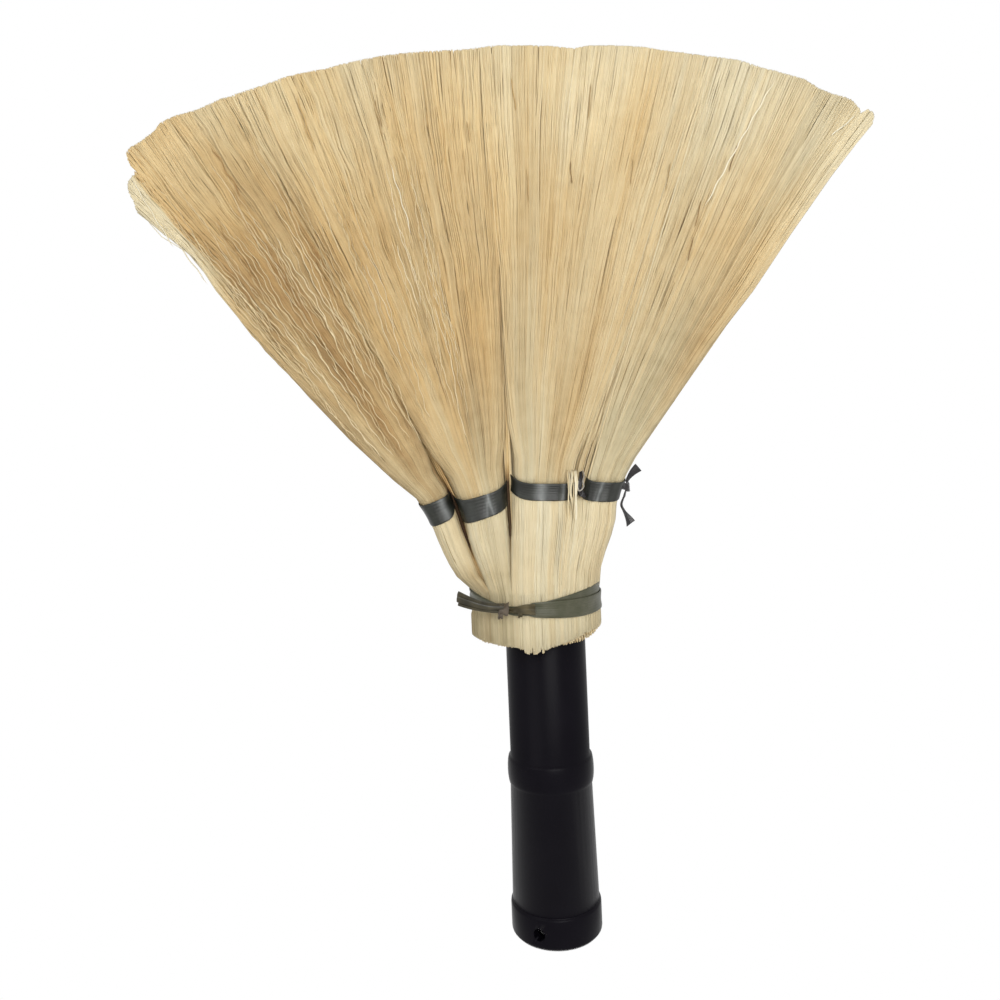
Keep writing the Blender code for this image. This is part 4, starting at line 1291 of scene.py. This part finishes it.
# A mark on a turn's front, a fold in the tape with a painted highlight on it: its place from -1 to 1
# across
# # the front, half its width there, its height in millimetres, how bright its painted highlight is and
# how far
# # the mark leans. A row is one turn.
Mark = namedtuple("Mark", "place width height worn lean")
TURN_MARKS = (
    (Mark(0.42, 0.20, 0.20, 0.55, 0.00), Mark(-0.45, 0.15, 0.20, 0.00, 0.00)),
    (Mark(0.18, 0.10, 0.35, 0.50, 0.06), Mark(0.32, 0.05, 0.25, 0.55, -0.06),
     Mark(-0.50, 0.20, 0.25, 0.08, 0.00)),
    (Mark(-0.08, 0.15, 0.40, 0.80, 0.00), Mark(0.52, 0.08, 0.35, 0.45, 0.00),
     Mark(-0.55, 0.20, 0.25, 0.00, 0.00)),
    (Mark(-0.12, 0.10, 0.40, 0.85, 0.05), Mark(0.55, 0.15, 0.30, 0.05, 0.00)),
)


def even_turns(count):
    """Turns whose places on a squared round lie about evenly apart."""
    angle = np.linspace(0, 2 * math.pi, count)
    across, deep = np.cos(angle), np.sin(angle)
    size = (np.abs(across) ** TIE_SQUARENESS + np.abs(deep) ** TIE_SQUARENESS) ** (1 / TIE_SQUARENESS)
    power = TIE_SQUARENESS / 2
    across = np.copysign(np.abs(across / size) ** power, across)
    deep = np.copysign(np.abs(deep / size) ** power, deep)
    return np.unwrap(np.arctan2(deep, across))


def make_tie_turn(index, tape):
    """The turn on one bundle of the tape that is twined round all four."""
    turn = even_turns(TIE_TURN_POINTS)
    left = np.clip(-np.cos(turn), 0, 1) ** TIE_TURN_SIDE_POWER
    right = np.clip(np.cos(turn), 0, 1) ** TIE_TURN_SIDE_POWER
    left_upper, left_lower, right_upper, right_lower = np.array(TURN_RISES[index]) / MM_IN_METRE
    half = half_tape(index)
    low = tie_point(turn, index, -half + left_lower * left + right_lower * right, TIE_TURN_LIFT)
    high = tie_point(turn, index, half + left_upper * left + right_upper * right, TIE_TURN_LIFT)
    widths = np.linalg.norm(high - low, axis=-1)
    sides = (high - low) / widths[:, None]

    def marked(share, across, value):
        turned = np.interp(share, np.linspace(0, 1, len(turn)), turn)
        total = np.zeros(len(share))
        for mark in TURN_MARKS[index]:
            away = (squared(np.cos(turned)) - mark.place - mark.lean * across) / mark.width
            total += getattr(mark, value) * np.exp(-(away**2))
        return total * (np.sin(turned) < 0)

    def relief(share, across):
        return -TIE_TURN_CUP * (1 - across**2) - marked(share, across, "height") / MM_IN_METRE

    # Painted highlight: the marks' pale grey stands in for the soft highlights on the tape's folds
    def highlight_and_wear_at(share, across):
        return marked(share, across, "worn")

    thing = make_strip(f"tie_turn_{BUNDLES[index].name}", (low + high) / 2, sides, widths, tape,
                       "tie_tape", relief, True, highlight_and_wear_at)
    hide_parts("throat_tie")


# Short lengths of tape: rows of x, y and z, the way the width points (x, y, z), and the width, all in
# millimetres in head coordinates
TIE_KNOT = (
    (42.6, -2.0, 68.6, 0.3, 1.0, 0.0, 3.6), (43.6, -1.2, 66.0, 0.4, 1.0, 0.2, 4.6),
    (42.2, -2.4, 63.6, 0.2, 1.0, -0.3, 3.8), (41.4, -1.4, 60.8, 0.4, 1.0, 0.1, 3.4),
)
TIE_KNOT_BAND = (
    (40.2, -4.6, 66.2, 0.3, 0.2, 1.0, 3.4), (42.6, -4.2, 65.4, 0.2, 0.1, 1.0, 3.0),
    (44.0, -2.0, 64.8, 0.0, 0.2, 1.0, 2.8), (43.4, 1.0, 65.0, 0.0, 0.2, 1.0, 3.4),
)
UPPER_TAIL = (
    (42.8, -2.2, 67.4, 0.5, 0.6, -0.5, 1.6), (43.8, -2.6, 69.6, 0.7, 0.3, -0.6, 2.0),
    (45.6, -3.2, 71.8, 0.8, 0.2, -0.6, 3.2), (48.3, -3.6, 74.0, 0.62, 0.3, -0.72, 4.6),
)
LOWER_TAIL = (
    (41.4, -1.8, 61.2, 0.6, 0.6, 0.3, 1.6), (40.1, -2.2, 57.8, 0.8, 0.4, 0.2, 1.2),
    (41.2, -2.4, 54.8, 0.7, 0.6, 0.4, 1.6), (42.8, -2.8, 51.6, 0.75, 0.4, 0.5, 3.4),
    (43.8, -3.0, 49.0, 0.8, 0.3, 0.5, 5.2),
)
TWIST = (
    (21.8, -9.6, 73.0, 1.0, 0.0, 0.2, 1.2), (21.5, -11.5, 70.4, 1.0, 0.2, 0.1, 1.5),
    (21.1, -12.1, 68.0, 1.0, -0.3, 0.2, 2.1), (20.9, -12.1, 65.4, 1.0, 0.2, 0.1, 1.8),
    (21.6, -12.0, 63.4, 0.7, 0.3, 0.9, 2.4), (22.8, -11.4, 61.8, 0.6, 0.2, 1.0, 1.8),
)
TWIST_LUMP = (
    (19.9, -11.0, 63.6, 0.1, 0.3, 1.0, 1.6), (21.2, -12.5, 63.2, 0.2, 0.2, 1.0, 2.4),
    (22.4, -12.4, 62.6, 0.0, -0.2, 1.0, 2.2), (23.4, -11.4, 62.6, 0.1, 0.2, 1.0, 1.4),
)
# Painted highlight: a thin pale strip along the twist's edge, for the shine on the tape's edge
TWIST_EDGE_HIGHLIGHT = (
    (22.5, -10.4, 73.4, 0.1, 1.0, 0.0, 0.40), (22.9, -12.0, 71.0, 0.1, 1.0, 0.0, 0.50),
    (22.2, -12.8, 68.6, 0.1, 1.0, 0.0, 0.45), (22.5, -13.0, 66.4, 0.1, 1.0, 0.0, 0.50),
    (21.3, -13.2, 64.9, 0.0, 1.0, 0.1, 0.55), (20.2, -13.1, 64.6, 0.0, 1.0, 0.1, 0.50),
    (19.7, -12.9, 66.4, 0.0, 1.0, 0.1, 0.45), (20.2, -12.6, 68.9, -0.1, 1.0, 0.0, 0.40),
)


def make_length(name, rows, material, slot, steps=LENGTH_POINTS, pleat=LENGTH_PLEAT, frayed=0.0):
    """A free length of tape through rows of places, with a fold down its middle."""
    run = through(rows, steps)
    sides = run[:, 3:6] / np.linalg.norm(run[:, 3:6], axis=-1)[:, None]

    def relief(share, across):
        return pleat * (np.abs(across) - 0.5) * (1 + np.sin(LENGTH_RIPPLE * share))

    def highlight_and_wear_at(share, across):
        return frayed * np.clip(across, 0, 1) ** FRAY_POWER

    return make_strip(name, run[:, 0:3] / MM_IN_METRE, sides, run[:, 6] / MM_IN_METRE, material, slot,
                      relief, False, highlight_and_wear_at)


# The strap's turns: degrees round the head (-90 is the front), height of the middle, width and how far
# it stands off the fibre, in millimetres
LOWER_TURN = (
    (-119.8, 16.6, 3.0, 0.9), (-110, 15.8, 3.6, 0.9), (-99, 16.2, 4.4, 0.9), (-93, 16.3, 6.2, 1.0),
    (-75, 16.0, 7.2, 1.0), (-56.5, 15.8, 7.6, 1.0), (-35, 16.1, 7.7, 1.0), (-16, 16.6, 7.8, 1.0),
    (20, 17.2, 8.4, 0.9), (60, 17.4, 8.4, 0.8), (100, 17.6, 8.2, 0.8), (140, 18.2, 7.4, 0.8),
    (165, 20.2, 5.2, 0.8), (-176, 21.2, 3.8, 0.8), (-160, 20.4, 3.4, 0.8), (-138, 18.6, 3.2, 0.9),
)
UPPER_TURN = (
    (-119.8, 17.2, 1.6, 0.5), (-106, 16.8, 2.2, 0.5), (-92, 17.2, 3.0, 0.5), (-75, 18.2, 4.4, 0.5),
    (-56.5, 19.3, 5.6, 0.5), (-35, 20.4, 6.8, 0.5), (-16, 20.9, 7.6, 0.5), (20, 20.4, 7.2, 0.4),
    (60, 19.4, 6.8, 0.3), (100, 19.0, 6.6, 0.3), (140, 20.0, 5.0, 0.3), (165, 22.0, 3.2, 0.3),
    (-176, 22.6, 2.2, 0.3), (-160, 21.6, 2.0, 0.4), (-138, 19.4, 1.8, 0.4),
)
STRAP_KNOT = (
    (-13.4, -26.8, 19.2, 1.0, 0.2, 0.1, 3.0), (-14.0, -29.2, 18.4, 1.0, 0.1, 0.3, 4.0),
    (-14.4, -30.1, 16.6, 1.0, -0.2, 0.3, 4.8), (-14.7, -29.3, 15.2, 1.0, 0.1, -0.2, 4.2),
    (-14.8, -27.2, 14.4, 1.0, 0.2, 0.0, 3.0),
)
KNOT_STUB = (
    (-15.0, -28.8, 16.2, 1.0, 0.3, 0.2, 2.2), (-15.7, -29.8, 14.8, 1.0, 0.2, 0.1, 2.1),
    (-15.9, -29.8, 13.3, 1.0, 0.3, 0.0, 2.0),
)
SECOND_STUB = (
    (-7.2, -28.8, 16.6, 1.0, 0.2, 0.1, 2.2), (-7.6, -30.0, 15.0, 1.0, 0.0, 0.1, 2.0),
    (-7.7, -29.9, 13.6, 1.0, 0.2, 0.2, 1.8),
)
CORD = (
    (-13.4, -28.2, 16.4, 0.1, -0.6, 1.0, 2.4), (-11.2, -29.4, 16.4, 0.3, 0.8, 0.7, 2.0),
    (-8.8, -29.9, 16.7, 0.2, -0.3, 1.0, 3.5), (-5.0, -30.1, 16.8, 0.1, 0.2, 1.0, 4.1),
    (-1.4, -30.2, 16.6, 0.0, 0.0, 1.0, 4.6),
)
TAILS = (
    ((-14.2, -28.6, 18.6, 0.1, 0.4, 1.0, 1.6), (-20.0, -28.6, 19.1, 0.2, 0.5, 1.0, 1.8),
     (-27.0, -26.4, 21.0, 0.2, 0.4, 1.0, 2.0), (-33.4, -23.8, 23.6, 0.3, 0.3, 1.0, 2.5)),
    ((-14.2, -29.6, 17.5, 0.1, -0.4, 1.0, 1.6), (-20.0, -30.0, 17.9, 0.2, -0.4, 1.0, 1.8),
     (-27.0, -28.0, 19.5, 0.2, -0.2, 1.0, 2.0), (-33.7, -25.6, 21.6, 0.1, 0.2, 1.0, 2.4)),
    ((-14.2, -28.8, 16.4, 0.1, 0.5, 1.0, 1.5), (-20.0, -28.8, 16.7, 0.1, 0.6, 1.0, 1.7),
     (-27.0, -26.8, 17.9, 0.2, 0.5, 1.0, 1.9), (-33.2, -24.4, 19.7, 0.3, 0.6, 1.0, 2.1)),
)


def make_strap_turn(name, rows, material, folds):
    """A closed turn of the strap, from rows of degrees, height, width and stand-off."""
    rows = [(math.cos(math.radians(degrees)), math.sin(math.radians(degrees)), *rest)
            for degrees, *rest in rows]
    run = through(rows, STRAP_TURN_POINTS, closed=True)
    unit = run[:, 0:2] / np.linalg.norm(run[:, 0:2], axis=-1)[:, None]
    radius = STRAP_RADIUS + run[:, 4:5] / MM_IN_METRE
    path = np.concatenate((unit * radius, run[:, 2:3] / MM_IN_METRE), axis=-1)
    sides = np.tile((0.0, 0.0, 1.0), (len(run), 1))

    def relief(share, across):
        crown = STRAP_TURN_CROWN * (1 - across**2)
        return -crown - folds * wave_at(STRAP_FOLDS * share + STRAP_FOLD_SLANT * across)

    thing = make_strip(name, path, sides, run[:, 3] / MM_IN_METRE, material, "strap_tape", relief, True)
    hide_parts("head_strap")


def make_tapes():
    tie = tape_material("tie_tape", "1B1C17", "2A2C26", 0.38, 0.38)
    black = tape_material("knotted_tape", "141318", "2A2524", 0.24)
    twist_edge_highlight = tape_material("painted_highlight_tape_edge", "8E867A", "C9C2B6", 0.30)
    strap = tape_material("strap_tape", "42432F", "545342", 0.42, 0.35)
    knotted = tape_material("creased_strap_tape", "3E362C", "655A4C", 0.50, 0.3)
    twined = tape_material("twined_strap_tape", "38311C", "5C5236", 0.50, 0.3)
    olive = tape_material("cut_strap_tape", "2A2619", "484230", 0.46, 0.3)
    for index in range(len(BUNDLES)):
        make_tie_turn(index, tie)
    for name, rows, material in (
        ("tie_knot", TIE_KNOT, black), ("tie_knot_band", TIE_KNOT_BAND, black),
        ("tie_upper_tail", UPPER_TAIL, black), ("tie_lower_tail", LOWER_TAIL, black),
        ("tie_twist", TWIST, black), ("tie_twist_lump", TWIST_LUMP, black),
        # The pale edge strip is a painted highlight
        ("tie_twist_edge_highlight", TWIST_EDGE_HIGHLIGHT, twist_edge_highlight),
    ):
        make_length(name, rows, material, "tie_tape", steps=KNOTTED_LENGTH_POINTS)
    make_strap_turn("strap_lower_turn", LOWER_TURN, strap, 0.00012)
    make_strap_turn("strap_upper_turn", UPPER_TURN, strap, 0.00008)
    for name, rows, material in (
        ("strap_knot", STRAP_KNOT, knotted), ("strap_knot_stub", KNOT_STUB, knotted),
        ("strap_second_stub", SECOND_STUB, twined), ("strap_cord", CORD, twined),
    ):
        make_length(name, rows, material, "strap_tape", pleat=0.0005)
    for number, rows in enumerate(TAILS):
        make_length(f"strap_tail_{number}", rows, olive, "strap_tape", pleat=0.0003, frayed=0.5)


# The socket


def make_socket(material):
    """The moulded socket: a copy of its solid, welded and shaded round between its edges."""
    thing = add_object("socket_moulding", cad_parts["pole_socket"].data.copy())
    weld(thing, SOCKET_WELD)
    bpy.ops.object.shade_smooth_by_angle(angle=SOCKET_SMOOTH_ANGLE)
    give_material(thing.data, material)
    finish_piece(thing, "socket_plastic", "pole_socket")


def finish_plug(material):
    """The plug stays as it is, with its own finish."""
    give_material(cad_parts["core_plug"].data, material)


# The picture


def make_camera():
    target = Vector(CAMERA_TARGET)
    bpy.ops.object.camera_add(location=target - Vector((0, CAMERA_DISTANCE, 0)),
                              rotation=(math.pi / 2, -CAMERA_ROLL, 0))
    camera = bpy.context.active_object
    camera.name = "photo_camera"
    camera.data.lens = CAMERA_LENS_MM
    camera.data.sensor_width = SENSOR_MM
    camera.data.clip_start = CAMERA_NEAREST
    bpy.context.scene.camera = camera
    bpy.context.scene.view_settings.view_transform = "Standard"


def white_where_seen(owner, lighting, seen, where=None):
    """One shader for the light on the object, and another for camera, glossy and glass rays."""
    rays = add_node(owner, "ShaderNodeLightPath").outputs
    factor = math_node(owner, "MAXIMUM", rays["Is Camera Ray"], rays["Is Glossy Ray"])
    factor = math_node(owner, "MAXIMUM", factor, rays["Is Transmission Ray"])
    if where is not None:
        factor = math_node(owner, "MULTIPLY", factor, where)
    return add_node(owner, "ShaderNodeMixShader", {"Fac": factor, 1: lighting, 2: seen}).outputs[0]


def make_floor():
    """A pale floor under the socket's mouth, white where it's seen."""
    bpy.ops.mesh.primitive_plane_add(size=FLOOR_SIZE, location=(0, 0, cad_low.z - FLOOR_GAP))
    floor = bpy.context.active_object
    floor.name = "floor"
    material, shader = new_material("pale_floor", 0.9, Base_Color=colour("F4F4F4"))
    bright = add_node(material, "ShaderNodeEmission", {"Color": WHITE})
    away = add_node(material, "ShaderNodeVectorMath", {0: place_node(material)}, operation="LENGTH")
    outside = math_node(material, "GREATER_THAN", away.outputs["Value"], MOUTH_SHADE_RADIUS)
    surface = white_where_seen(material, shader.outputs[0], bright.outputs[0], outside)
    feed(material, material.node_tree.nodes["Material Output"], Surface=surface)
    floor.data.materials.append(material)


def make_world():
    """A white room that lights the object softly."""
    world = bpy.data.worlds.new("white_room")
    bpy.context.scene.world = world
    world.use_nodes = True
    light = world.node_tree.nodes["Background"]
    light.inputs["Color"].default_value = WHITE
    light.inputs["Strength"].default_value = WORLD_STRENGTH
    seen = add_node(world, "ShaderNodeBackground", {"Color": WHITE})
    surface = white_where_seen(world, light.outputs[0], seen.outputs[0])
    feed(world, world.node_tree.nodes["World Output"], Surface=surface)


def make_stage():
    """The floor, the white world and three soft lamps."""
    make_floor()
    make_world()
    for lamp in LAMPS:
        bpy.ops.object.light_add(type="AREA", location=lamp.place)
        thing = bpy.context.active_object
        thing.name = lamp.name
        thing.data.size = lamp.size
        thing.data.energy = lamp.power
        aim = Vector(LAMP_AIM) - Vector(lamp.place)
        thing.rotation_euler = aim.to_track_quat("-Z", "Y").to_euler()


make_camera()
make_fibre(straw_material())
make_tapes()
make_socket(socket_material())
finish_plug(beech_material())
make_stage()
